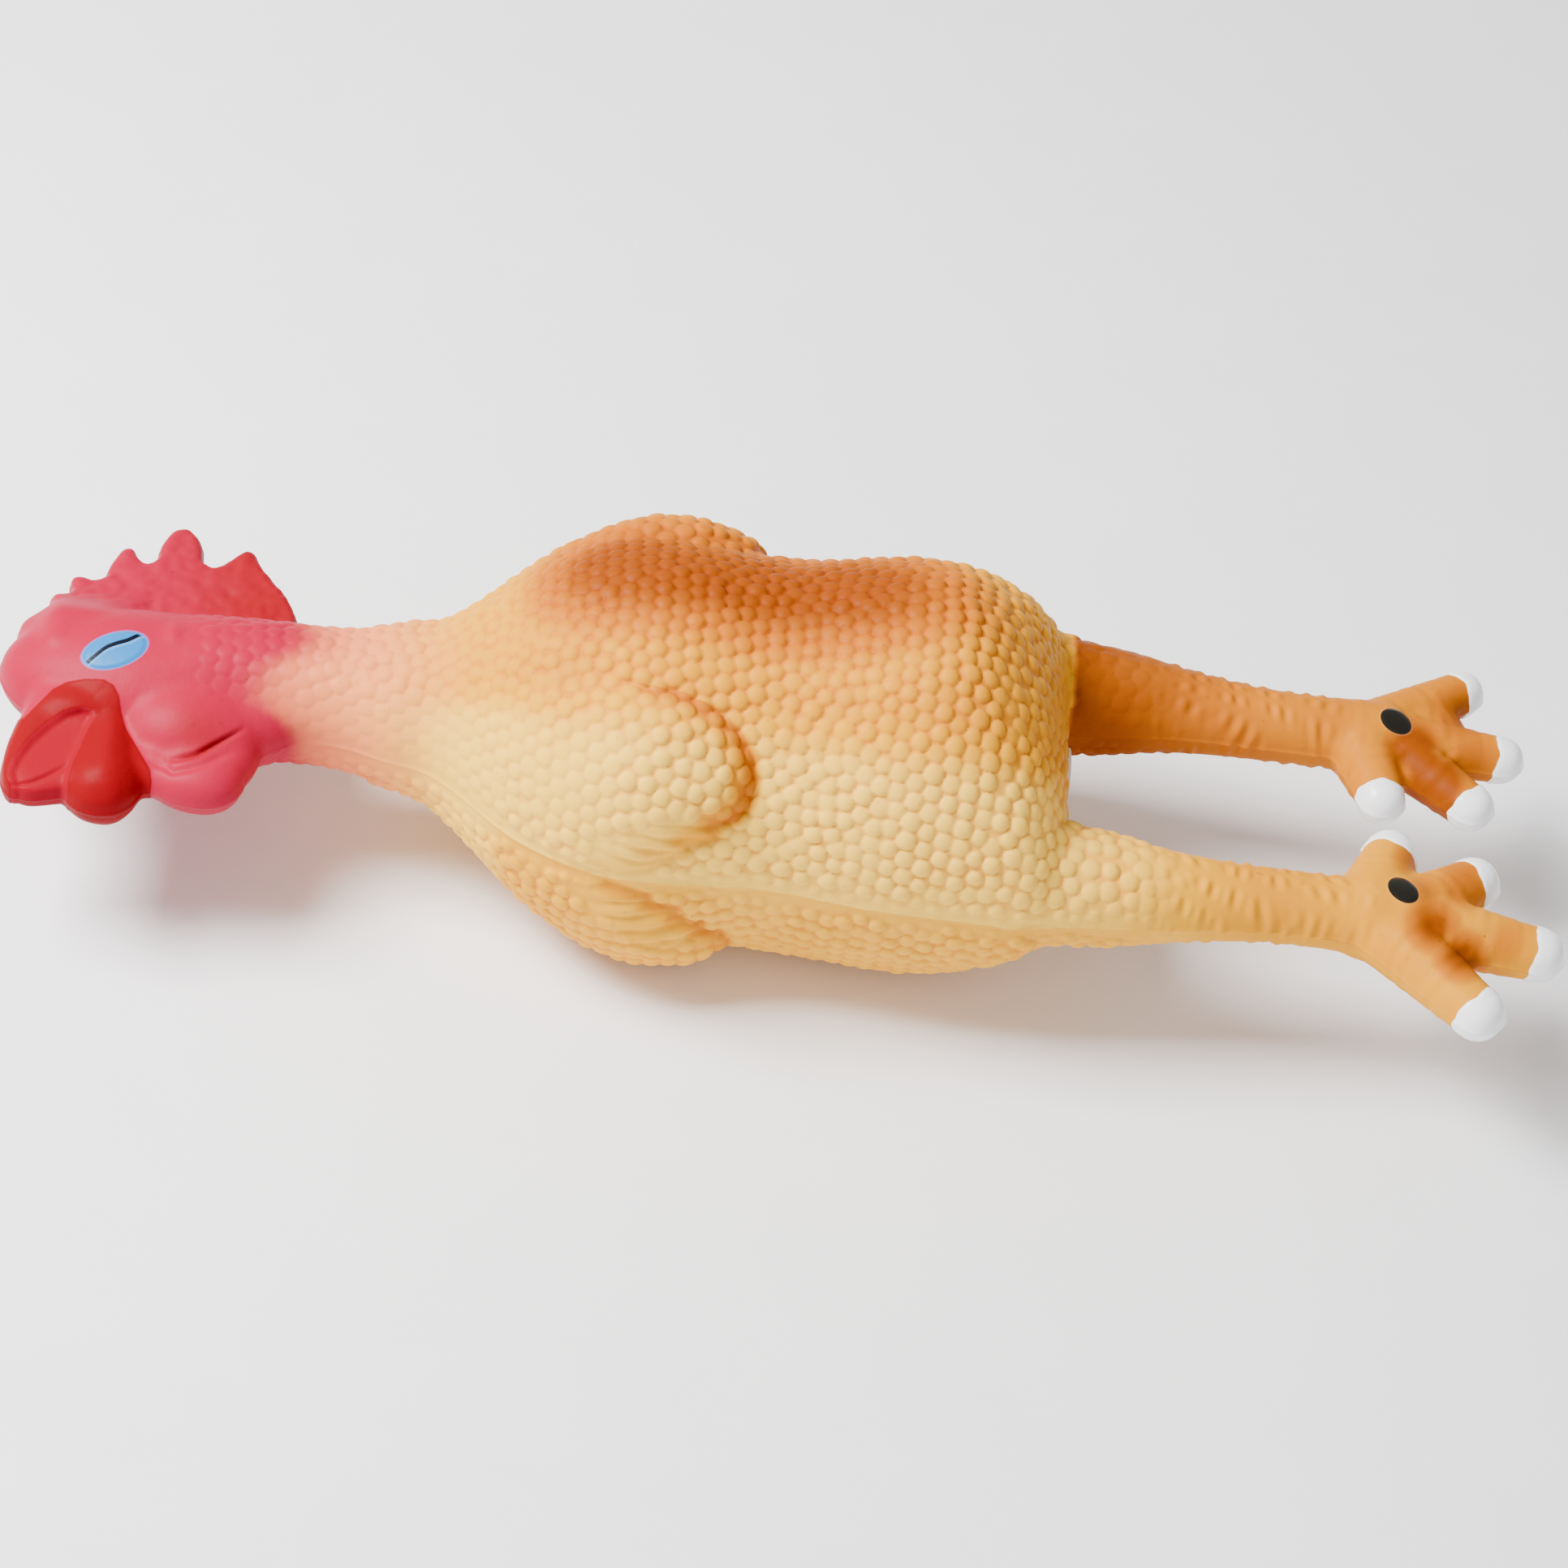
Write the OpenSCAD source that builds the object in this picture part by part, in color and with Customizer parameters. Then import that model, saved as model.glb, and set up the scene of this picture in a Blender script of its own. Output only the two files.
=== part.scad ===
// Rubber chicken: a hollow latex casting with moulded wings, comb, wattles and toes, and a squeaker inside.
// The mould seam lies in one level plane that holds the head in profile, both legs and all the toes.
// X runs from the head (-X) to the feet (+X), +Z is up, and the belly rests on z = 0 below the origin.

/* [Torso] */
// Front end of the torso, where the neck begins
neck_root_x = -106; // [-115:1:-98]
// Radius of the skin at the front end of the torso
neck_root_r = 24.5; // [22:0.5:28]
// Place of the breast along the body
breast_x = -70; // [-76:1:-64]
// Half width of the breast, and its height above the seam plane
breast_r = 48; // [44:0.5:52]
// Depth of the breast below the seam plane
breast_depth = 44; // [41:0.5:48]
// Place of the shoulders along the body
shoulder_x = -44; // [-50:1:-38]
// Radius at the shoulders
shoulder_r = 56.5; // [53:0.5:60]
// Place of the waist along the body
waist_x = -4; // [-12:1:4]
// Radius at the waist
waist_r = 54; // [51:0.5:57]
// Place of the hips along the body, where the rump starts to round off
hip_x = 36; // [30:1:42]
// Half width at the hips
hip_r = 57; // [54:0.5:60]
// Height of the back above the seam plane at the hips
back_h = 61; // [57:0.5:64]
// Depth of the belly below the seam plane, before the rest is cut
belly_depth = 53; // [49:0.5:56]
// Depth of the flat that the belly rests on
rest_cut = 0.5; // [0.3:0.1:1]
// Rear face of the rump, where the legs begin
rump_x = 79; // [74:1:84]
// Half width of the rear face
rump_w = 57; // [56.5:0.5:59]
// Half height of the rear face
rump_h = 19.5; // [18.5:0.5:22]
// How far the skin's pimples stand out, of which the solid has the main ones
pimple_rise = 1.2; // [0.8:0.1:1.6]

/* [Wings] */
// How far the elbow of a folded wing stands out of the torso
wing_rise = 6; // [3:0.5:9]
// How far the shoulder end of a wing stands out
wing_root_rise = 2; // [1.5:0.5:4]
// Radius of the elbow lobe
wing_elbow_r = 17; // [12:0.5:20]
// Radius of the shoulder lobe
wing_root_r = 22; // [16:0.5:26]
// Radius of the feathered tip lobe
wing_tip_r = 10; // [7:0.5:13]
// Place of the elbow along the body
wing_elbow_x = -25; // [-32:1:-18]
// Place of the shoulder lobe along the body
wing_root_x = -52; // [-58:1:-46]
// Angle of the elbow above or below the seam
wing_elbow_angle = 40; // [32:1:46]
// Angle of the feathered tip above or below the seam
wing_tip_angle = 15; // [12:1:22]

/* [Neck] */
// Length of the bend at the base of the neck
neck_base_l = 22; // [18:1:28]
// Length of the stiffer ring in the middle of the neck
neck_mid_l = 6; // [4:1:12]
// Length of the bend under the head
neck_top_l = 18; // [15:1:24]
// Radius of the neck
neck_r = 19; // [17.5:0.5:21]

/* [Head] */
// Length of the head from the neck to the forehead
head_l = 71; // [66:1:76]
// Distance from the neck to the widest place of the head
brow_l = 28; // [24:1:34]
// Half height of the head, along the comb's direction
head_h = 24; // [21:0.5:27]
// Half thickness of the head
head_t = 18; // [16:0.5:20]
// How far the head's middle sits below the neck's, away from the comb
head_drop = 4.5; // [2:0.5:6]

/* [Comb] */
// Half thickness of the comb along its root
comb_root_t = 5; // [4:0.25:6.5]
// Radius of the comb's points
comb_tip_t = 3.5; // [2.5:0.25:4.5]
// Distance of the middle of the comb's root ahead of the neck
comb_root_ahead = 28; // [22:0.5:34]
// Height of the middle of the comb's root above the neck's middle
comb_root_y = 10; // [6:0.5:14]

/* [Beak and wattles] */
// Radius of the beak's root
beak_root_r = 9.5; // [8:0.5:12]
// Distance of the beak's root ahead of the brow
beak_root_ahead = 20.5; // [18:0.5:23]
// Distance of the beak's root below the neck's middle
beak_root_drop = 19; // [16:0.5:22]
// Radius of the beak's tip
beak_tip_r = 3.5; // [2.5:0.25:5]
// Distance of the beak's tip ahead of the brow
beak_reach = 35.5; // [31:0.5:39]
// Distance of the beak's tip below the neck's middle
beak_drop = 50; // [45:0.5:54]
// Radius of the beak's lower corner
beak_corner_r = 5; // [3:0.25:6.5]
// Distance of the beak's lower corner ahead of the brow
beak_corner_ahead = 20; // [17:0.5:23]
// Distance of the beak's lower corner below the neck's middle
beak_corner_drop = 46; // [42:0.5:48]
// Radius of the red wattle's root
red_root_r = 9; // [7:0.5:11]
// Distance of the red wattle's root below the neck's middle
red_root_drop = 13; // [10:0.5:16]
// Radius of the red wattle's round end
red_wattle_r = 10.5; // [8:0.5:12]
// Distance of the red wattle's round end below the neck's middle
red_wattle_drop = 46.5; // [42:0.5:50]
// Distance of the red wattle ahead of the brow
red_wattle_ahead = 7.5; // [5:0.5:10]
// Radius of the pink cheek
cheek_r = 14; // [11:0.5:16]
// Distance of the pink cheek behind the brow
cheek_back = 12; // [9:0.5:15]
// Distance of the pink cheek below the neck's middle
cheek_drop = 21; // [18:0.5:24]
// Radius of the pink lower wattle
pink_wattle_r = 10; // [8:0.5:12]
// Distance of the pink lower wattle below the neck's middle
pink_wattle_drop = 38; // [34:0.5:42]
// Distance of the pink lower wattle behind the brow
pink_wattle_back = 19; // [16:0.5:20]
// Radius of the fold between the red and the pink wattle
web_r = 8; // [6:0.5:9]
// Distance of the fold below the neck's middle
web_drop = 36; // [32:0.5:38]
// Distance of the fold behind the brow
web_back = 5; // [3:0.5:8]

/* [Eyes] */
// Length of an eye
eye_l = 20; // [16:0.5:23]
// Height of an eye
eye_h = 12; // [9:0.5:14]
// How far an eye stands out of the head
eye_rise = 1.6; // [0.8:0.1:2.4]
// Tilt of an eye
eye_tilt = 34; // [20:1:42]
// Half depth of the lens that an eye is cut from
eye_lens = 4; // [3:0.25:5]
// Distance of an eye's middle ahead of the brow
eye_ahead = 9; // [7:0.5:12]
// Distance of an eye's middle below the head's middle
eye_drop = 5; // [2:0.5:7]

/* [Legs] */
// Distance of a leg's root from the middle of the body
leg_y = 38; // [36:0.5:39]
// Distance of an ankle from the middle of the body
ankle_y = 36; // [35:0.5:38]
// Radius of a leg's root
leg_root_r = 17; // [15:0.5:17.5]
// Radius of a leg just past the hip's bend
thigh_r = 14.3; // [12.5:0.1:15]
// Radius of a leg at its thinnest
shank_r = 10.4; // [9:0.1:11.5]
// Length of the bend at a hip
hip_fold_l = 22; // [19:1:26]
// Length of a leg between its two bends
leg_l = 46; // [38:1:56]
// Length of the bend at an ankle
ankle_fold_l = 12; // [10:1:16]

/* [Left foot] */
// Radius of the left palm
left_palm_r = 12.5; // [11:0.25:14]
// Length of the left palm from the ankle to the roots of its front toes
left_palm_l = 16; // [13:0.5:19]
// Radius of the left toes at their roots
left_toe_r = 10; // [8:0.25:10.5]
// Radius of the left nails
left_nail_r = 7.6; // [6.5:0.1:8]
// Reach of the left middle toe past the ankle
left_middle_l = 64; // [58:0.5:68]
// How far the left middle toe ends outwards of the ankle
left_middle_out = 8; // [4:0.5:12]
// Reach of the left outer toe past the ankle
left_outer_l = 43; // [40:0.5:48]
// How far the left outer toe ends outwards of the ankle
left_outer_out = 38; // [34:0.5:41]
// Reach of the left inner toe past the ankle
left_inner_l = 45; // [41:0.5:49]
// How far the left inner toe ends inwards of the ankle
left_inner_in = 23; // [19:0.5:26]
// Reach of the left hind toe past the ankle
left_hind_l = 17; // [14:0.5:20]
// How far the left hind toe ends inwards of the ankle
left_hind_in = 33; // [29:0.5:33.5]

/* [Right foot] */
// Radius of the right palm
right_palm_r = 11; // [10.5:0.25:12.5]
// Length of the right palm from the ankle to the roots of its front toes
right_palm_l = 14; // [12:0.5:16]
// Radius of the right toes at their roots
right_toe_r = 8.3; // [7:0.1:9.5]
// Radius of the right nails
right_nail_r = 6.6; // [5.5:0.1:7]
// Reach of the right middle toe past the ankle
right_middle_l = 57; // [51:0.5:61]
// How far the right middle toe ends outwards of the ankle
right_middle_out = -3; // [-6:0.5:1]
// Reach of the right outer toe past the ankle
right_outer_l = 45; // [41:0.5:49]
// How far the right outer toe ends outwards of the ankle
right_outer_out = 28; // [24:0.5:32]
// Reach of the right inner toe past the ankle
right_inner_l = 45; // [41:0.5:49]
// How far the right inner toe ends inwards of the ankle
right_inner_in = 29; // [25:0.5:29.5]
// Reach of the right hind toe past the ankle
right_hind_l = 15; // [12:0.5:18]
// How far the right hind toe ends inwards of the ankle
right_hind_in = 33; // [29:0.5:33.5]

/* [Nails and spots] */
// Length of a nail
nail_l = 10; // [9:0.5:12]
// How far the hind toes rise towards their ends
hind_lift = 0; // [-2:0.5:4]
// Length of the black oval on a foot
spot_l = 10; // [8:0.5:11]
// Width of the black oval on a foot
spot_w = 7; // [5:0.5:8]
// Turn of the oval towards the outer toe
spot_turn = 30; // [15:1:45]
// Depth of the oval's seat
spot_t = 1.5; // [1:0.1:2]

/* [Squeaker] */
// Outer radius of the squeaker's barrel
barrel_r = 9; // [8:0.25:10]
// Wall of the barrel
barrel_wall = 1.5; // [1:0.1:2]
// Length of the barrel inside the rump
barrel_l = 20; // [16:1:26]
// Radius of the flange outside the rump
flange_r = 11.5; // [11:0.25:13]
// Thickness of the flange and of the barrel's end
flange_t = 1.5; // [1:0.1:2]
// Radius of the air hole
vent_r = 2; // [1:0.1:3]
// Thickness of the reed seat's disc
seat_t = 2; // [1.5:0.1:3]
// Length of the reed seat's tongue
tongue_l = 11; // [8:0.5:13]
// Width of the reed seat's tongue
tongue_w = 6; // [5:0.25:7]
// Thickness of the reed seat's tongue
tongue_t = 2; // [1.5:0.1:2.5]
// Width of the reed
reed_w = 4.5; // [3.5:0.1:5]
// Thickness of the reed
reed_t = 0.3; // [0.2:0.05:0.4]
// How far the reed lies over each side of the groove that it beats on
groove_land = 0.5; // [0.3:0.1:0.8]
// Length of the wedge that clamps the reed
wedge_l = 3; // [2:0.25:4]
// Height of the wedge
wedge_h = 2; // [1:0.1:2.5]
// Gap between the reed and what it beats on
reed_gap = 0.35; // [0.3:0.05:0.5]

/* [Latex] */
// Thickness of the latex skin
skin_t = 3; // [2:0.1:3.5]

/* [Hidden] */

// Height of the seam plane above the table
seam_z = belly_depth - rest_cut;
// Sides of every latex tube, and rings along its parts
sides = 32;
torso_rings = 10;
rump_rings = 6;
head_rings = 4;
face_rings = 5;
taper_rings = 3;
// Smoothness of the lobes and toes
lobe_fn = 20;
comb_fn = 12;
// Roundness of the sections: 2 is an ellipse, and more is squarer
round_power = 2;
belly_power = 2.2;
rump_power = 4;
// Degrees round a wing, and below the seam on the belly, where the pimples end
wing_margin = 25;
belly_lift = 58;
// How quickly the rump falls away towards its rear face: 1 is an ellipse, and more is steeper
rump_fall = 1.9;
// How late the neck widens into the torso, and a leg narrows into its shank: 1 is even, and more is later
neck_flare = 1.2;
leg_taper = 2;
// How far a cut runs past the face that it opens
over = 1;

latex_cream = [0.93, 0.79, 0.56];
latex_orange = [0.87, 0.60, 0.33];
latex_pink = [0.90, 0.42, 0.46];
paint_red = [0.83, 0.12, 0.13];
paint_blue = [0.45, 0.70, 0.86];
paint_white = [0.90, 0.90, 0.92];
paint_black = [0.06, 0.06, 0.07];
squeaker_white = [0.92, 0.92, 0.88];
reed_amber = [0.80, 0.62, 0.35];

// Places along the body, each from the piece before it
neck_mid_x = neck_root_x - neck_base_l;
neck_top_x = neck_mid_x - neck_mid_l;
head_x = neck_top_x - neck_top_l;
brow_x = head_x - brow_l;
forehead_x = head_x - head_l;
leg_x = rump_x + hip_fold_l;
ankle_x = leg_x + leg_l;
foot_x = ankle_x + ankle_fold_l;
leg_bore_r = leg_root_r - skin_t;

// Smooth rise from 0 to 1 as t goes from 0 to 1
function ease(t) = t <= 0 ? 0 : t >= 1 ? 1 : t * t * (3 - 2 * t);
function mix(a, b, t) = a + (b - a) * t;
// Quarter of an ellipse, 1 at t = 0 and 0 at t = 1
function quarter(t) = t <= 0 ? 1 : t >= 1 ? 0 : sqrt(1 - t * t);

// Slope of a curve through points at point i
function slope(p, i) = i == 0 || i == len(p) - 1 ? 0
    : (p[i + 1][1] - p[i - 1][1]) / (p[i + 1][0] - p[i - 1][0]);
// Height of a smooth curve through points at x, between points i and i + 1
function hermite(p, i, x) =
    let (d = p[i + 1][0] - p[i][0], t = (x - p[i][0]) / d)
    (2 * t ^ 3 - 3 * t ^ 2 + 1) * p[i][1] + (t ^ 3 - 2 * t ^ 2 + t) * d * slope(p, i)
    + (3 * t ^ 2 - 2 * t ^ 3) * p[i + 1][1] + (t ^ 3 - t ^ 2) * d * slope(p, i + 1);
function curve(p, x, i = 0) = i >= len(p) - 2 || x <= p[i + 1][0] ? hermite(p, i, x) : curve(p, x, i + 1);

// Torso profile from the neck to the hips, then a rounded rump
front_points = [[neck_root_x, neck_root_r], [breast_x, breast_r], [shoulder_x, shoulder_r], [waist_x, waist_r]];
side_points = concat(front_points, [[hip_x, hip_r]]);
back_points = concat(front_points, [[hip_x, back_h]]);
belly_points = [[neck_root_x, neck_root_r], [breast_x, breast_depth], [shoulder_x, belly_depth],
    [waist_x, belly_depth], [hip_x, belly_depth]];
function rump_share(x) = (x - hip_x) / (rump_x - hip_x);
function rump_left(x) = quarter(rump_share(x)) ^ rump_fall;
function torso_half_w(x) = x <= hip_x ? curve(side_points, x) : mix(rump_w, hip_r, rump_left(x));
function torso_top(x) = x <= hip_x ? curve(back_points, x) : mix(rump_h, back_h, rump_left(x));
function torso_bottom(x) = x <= hip_x ? curve(belly_points, x) : mix(rump_h, belly_depth, rump_left(x));
function torso_power(x, base) = mix(base, rump_power, max(0, rump_share(x)) ^ 2);

// A ring of points in the plane at x: half width, half height above and below, middle, and roundness
function bent(v, power) = sign(v) * abs(v) ^ (2 / power);
function ring(x, w, top, bottom, y = 0, upper = 2, lower = 2, rise = function (i) 0) = [
    for (i = [0 : sides - 1]) let (a = 360 * i / sides, power = sin(a) > 0 ? upper : lower)
        [x, y + (w + rise(i)) * bent(cos(a), power),
            seam_z + ((sin(a) > 0 ? top : bottom) + rise(i)) * bent(sin(a), power)]];
torso_stations = concat([for (i = [0 : torso_rings - 1]) mix(neck_root_x, hip_x, i / torso_rings)],
    [for (i = [0 : rump_rings]) mix(hip_x, rump_x, sin(90 * i / rump_rings))]);

// Every other corner of the torso's skin is a pimple, but none is on the seam, by a wing or leg, or on the belly
function lift(i) = asin(abs(sin(360 * i / sides)));
function by_wing(x, i) = x > wing_root_x - wing_root_r && x < wing_elbow_x + wing_elbow_r
    && lift(i) < wing_elbow_angle + wing_margin;
function on_belly(i) = i > sides / 2 && lift(i) > belly_lift;
function pimpled(k, i) = (k + i) % 2 == 0 && k > 0 && torso_stations[k] < rump_x - leg_root_r / 2 && lift(i) > 0
    && !by_wing(torso_stations[k], i) && !on_belly(i);

// Ring k of the torso's outer skin, and a ring of its inside, which lies at another place along the body
function torso_form_ring(x, at, inset, rise) = ring(at, torso_half_w(x) - inset, torso_top(x) - inset,
    torso_bottom(x) - inset, 0, torso_power(x, round_power), torso_power(x, belly_power), rise);
function torso_ring(k) = torso_form_ring(torso_stations[k], torso_stations[k], 0,
    function (i) pimpled(k, i) ? pimple_rise : 0);
function torso_inner_ring(x, at) = torso_form_ring(x, at, skin_t, function (i) 0);
torso_rings_outer = [for (k = [0 : len(torso_stations) - 1]) torso_ring(k)];

// Head section: it grows from the neck to the brow, then closes round the forehead
function brow_share(x) = (head_x - x) / brow_l;
function face_share(x) = (brow_x - x) / (head_l - brow_l);
function head_half_h(x) = mix(neck_r, head_h, ease(brow_share(x))) * quarter(face_share(x));
function head_half_t(x) = mix(neck_r, head_t, ease(brow_share(x))) * quarter(face_share(x));
function head_y(x) = -head_drop * ease(brow_share(x));
function head_ring(x, inset = 0) = ring(x, head_half_h(x) - inset, head_half_t(x) - inset,
    head_half_t(x) - inset, head_y(x));
face_end = 0.985;
head_stations = concat([for (i = [0 : head_rings - 1]) mix(head_x, brow_x, i / head_rings)],
    [for (i = [0 : face_rings]) mix(brow_x, forehead_x, face_end * sin(90 * i / face_rings))]);
function neck_half(x) = mix(neck_r, neck_root_r, ease((x - neck_mid_x) / neck_base_l) ^ neck_flare);

// Faces between rings of one closed skin: bands, and caps at its two ends
function band(a, b) = [for (i = [0 : sides - 1]) let (j = (i + 1) % sides)
    each [[a + i, b + i, b + j], [a + i, b + j, a + j]]];
function bands(n) = [for (k = [0 : n - 2]) each band(k * sides, (k + 1) * sides)];
function cap(k, flip) = [for (i = [1 : sides - 2])
    flip ? [k * sides, k * sides + i + 1, k * sides + i] : [k * sides, k * sides + i, k * sides + i + 1]];

// A solid lofted through rings that run towards +X
module loft(rings) {
    polyhedron([for (r = rings) each r], concat(bands(len(rings)), cap(0, false), cap(len(rings) - 1, true)));
}

// A hollow tube open at both ends: the rings go out along the outside and back along the inside
module tube_skin(outer, inner) {
    n = len(outer) + len(inner);
    back = [for (i = [len(inner) - 1 : -1 : 0]) inner[i]];
    polyhedron([for (r = concat(outer, back)) each r], concat(bands(n), band((n - 1) * sides, 0)));
}

// A hollow cup open at its first ring: the rings run from the inner end out and along the outside
module cup_skin(outer, inner) {
    back = [for (i = [len(inner) - 1 : -1 : 0]) inner[i]];
    loft(concat(back, outer));
}

// Straight or tapering latex tube from x0 to x1, with its middle moving from y0 to y1
module latex_tube(x0, x1, radius, y0 = 0, y1 = 0, tube_rings = 1) {
    xs = [for (i = [0 : tube_rings]) mix(x0, x1, i / tube_rings)];
    mid = [for (x = xs) mix(y0, y1, (x - x0) / (x1 - x0))];
    rs = [for (x = xs) radius(x)];
    tube_skin([for (i = [0 : tube_rings]) ring(xs[i], rs[i], rs[i], rs[i], mid[i])],
        [for (i = [0 : tube_rings]) ring(xs[i], rs[i] - skin_t, rs[i] - skin_t, rs[i] - skin_t, mid[i])]);
}

module at(x, y, z = 0) {
    translate([x, y, seam_z + z]) children();
}

module ball(x, y, r, z = 0, fn = lobe_fn) {
    at(x, y, z) sphere(r, $fn = fn);
}

// Outer form of the torso and of the head, solid
module torso_form() {
    loft(torso_rings_outer);
}

module head_form() {
    loft([for (i = [len(head_stations) - 1 : -1 : 0]) head_ring(head_stations[i])]);
}

module torso_skin() {
    last = len(torso_stations) - 1;
    inner_stations = [for (i = [0 : 2 : last]) torso_stations[i]];
    shorter = (rump_x - skin_t - neck_root_x) / (rump_x - neck_root_x);
    color(latex_cream) difference() {
        cup_skin(torso_rings_outer,
            [for (x = inner_stations) torso_inner_ring(x, mix(neck_root_x, x, shorter))]);
        translate([neck_root_x, -rump_w, -belly_depth]) cube([rump_x - neck_root_x, 2 * rump_w, belly_depth]);
        for (side = [-1, 1])
            at(rump_x - skin_t - over, side * leg_y) rotate([0, 90, 0])
                cylinder(skin_t + 2 * over, r = leg_bore_r);
        at(rump_x - skin_t - over, 0) rotate([0, 90, 0]) cylinder(skin_t + 2 * over, r = barrel_r);
    }
}

// A ball set into the torso's side at an angle above or below the seam, standing out by rise
module wing_ball(x, angle, r, rise) {
    depth = r - rise;
    height = angle < 0 ? torso_bottom(x) : torso_top(x);
    power = torso_power(x, angle < 0 ? belly_power : round_power);
    ball(x, (torso_half_w(x) - depth) * bent(cos(angle), power), r, (height - depth) * bent(sin(angle), power));
}

// Folded wing on the +Y side: a lobe above the seam and a lobe below it, whose tips meet across the seam
module wing_lobes() {
    tip_rise = (wing_rise + wing_root_rise) / 2;
    wing_root_angle = (wing_elbow_angle + wing_tip_angle) / 2;
    for (half = [-1, 1])
        hull() {
            wing_ball(wing_root_x, half * wing_root_angle, wing_root_r, wing_root_rise);
            wing_ball(wing_elbow_x, half * wing_elbow_angle, wing_elbow_r, wing_rise);
            wing_ball(wing_elbow_x, half * wing_tip_angle, wing_tip_r, tip_rise);
        }
    hull()
        for (half = [-1, 0, 1]) wing_ball(wing_elbow_x, half * wing_tip_angle, wing_tip_r, tip_rise);
}

module wing(side) {
    color(latex_cream) difference() {
        if (side > 0) wing_lobes();
        else mirror([0, 1, 0]) wing_lobes();
        torso_form();
    }
}

module neck_base_fold() {
    color(latex_cream) latex_tube(neck_mid_x, neck_root_x, function (x) neck_half(x), tube_rings = taper_rings);
}

module neck_skin() {
    color(latex_cream) latex_tube(neck_top_x, neck_mid_x, function (x) neck_r);
}

module neck_top_fold() {
    color(latex_pink) latex_tube(head_x, neck_top_x, function (x) neck_r);
}

module head_skin() {
    hollow = [for (x = head_stations) if (x > brow_x - brow_l / 2) x];
    outer = [for (i = [len(head_stations) - 1 : -1 : 0]) head_ring(head_stations[i])];
    inner = [for (i = [0 : len(hollow) - 1]) head_ring(hollow[i], skin_t)];
    color(latex_pink) loft(concat(outer, inner));
}

// Outline of the comb from the forehead to the nape, as distance ahead of the neck and height above its middle
comb_outline = [[66.5, -1], [60, 15], [51, 29], [46.5, 31.5], [43.5, 35], [40, 44], [32.5, 40], [24.5, 55.5],
    [15, 42], [5.5, 50], [-1, 40], [-6, 35], [-8, 29]];

module comb() {
    color(latex_pink) difference() {
        for (i = [1 : len(comb_outline) - 1])
            hull() {
                for (p = [comb_outline[i - 1], comb_outline[i]])
                    ball(head_x - p[0], p[1], comb_tip_t, 0, comb_fn);
                ball(head_x - comb_root_ahead, comb_root_y, comb_root_t, 0, comb_fn);
            }
        head_form();
    }
}

module beak() {
    color(paint_red) difference() {
        hull() {
            ball(brow_x - beak_root_ahead, -beak_root_drop, beak_root_r);
            ball(brow_x - beak_reach, -beak_drop, beak_tip_r);
            ball(brow_x - beak_corner_ahead, -beak_corner_drop, beak_corner_r);
        }
        head_form();
        red_wattle_form();
    }
}

module red_wattle_form() {
    hull() {
        ball(brow_x - red_wattle_ahead, -red_root_drop, red_root_r);
        ball(brow_x - red_wattle_ahead, -red_wattle_drop, red_wattle_r);
    }
}

module red_wattle() {
    color(paint_red) difference() {
        red_wattle_form();
        head_form();
    }
}

module cheek_wattle() {
    color(latex_pink) difference() {
        hull() {
            ball(brow_x + cheek_back, -cheek_drop, cheek_r);
            ball(brow_x + pink_wattle_back, -pink_wattle_drop, pink_wattle_r);
            ball(brow_x + web_back, -web_drop, web_r);
        }
        head_form();
        red_wattle_form();
    }
}

// An eye is a flat-backed oval lens on the side of the head, up for +1 and down for -1
module eye(side) {
    x = brow_x - eye_ahead;
    y = head_y(x) - eye_drop;
    z = head_half_t(x) * sqrt(1 - (eye_drop / head_half_h(x)) ^ 2);
    color(paint_blue) difference() {
        hull()
            at(x, y, side * (z + eye_rise - eye_lens)) rotate([0, 0, eye_tilt])
                scale([eye_l / 2, eye_h / 2, eye_lens]) sphere(1, $fn = lobe_fn);
        head_form();
    }
}

module hip_fold(side) {
    color(latex_cream)
        latex_tube(rump_x, leg_x, function (x) mix(leg_root_r, thigh_r, (x - rump_x) / hip_fold_l),
            side * leg_y, side * leg_y);
}

module leg_skin(side) {
    color(latex_orange)
        latex_tube(leg_x, ankle_x, function (x) mix(shank_r, thigh_r, (1 - (x - leg_x) / leg_l) ^ leg_taper),
            side * leg_y, side * ankle_y, taper_rings);
}

module ankle_fold(side) {
    color(latex_orange) latex_tube(ankle_x, foot_x, function (x) shank_r, side * ankle_y, side * ankle_y);
}

// Reach past the ankle, distance outwards and rise of the toes' ends: middle, outer, inner and hind
function toe_ends(side) = side < 0
    ? [[left_middle_l, left_middle_out, 0], [left_outer_l, left_outer_out, 0],
        [left_inner_l, -left_inner_in, 0], [left_hind_l, -left_hind_in, hind_lift]]
    : [[right_middle_l, right_middle_out, 0], [right_outer_l, right_outer_out, 0],
        [right_inner_l, -right_inner_in, 0], [right_hind_l, -right_hind_in, hind_lift]];
function toe_r(side) = side < 0 ? left_toe_r : right_toe_r;
function nail_r(side) = side < 0 ? left_nail_r : right_nail_r;
function palm_r(side) = side < 0 ? left_palm_r : right_palm_r;
function palm_l(side) = side < 0 ? left_palm_l : right_palm_l;
outer_toe = 1;
hind_toe = 3;
// The outer and hind toes leave the palm half way along it
function toe_root(side, k) = k == outer_toe || k == hind_toe ? palm_l(side) / 2 : palm_l(side);

// Frame of a toe: its own +Z points from the palm to the toe's end, and its origin lies where the nail begins
module along_toe(side, k) {
    end = toe_ends(side)[k];
    way = end - [toe_root(side, k), 0, 0];
    base = end - (nail_l / norm(way)) * way;
    at(foot_x + base[0], side * (ankle_y + base[1]), base[2])
        rotate([0, acos(way[2] / norm(way)), side * atan2(way[1], way[0])]) children();
}

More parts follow.
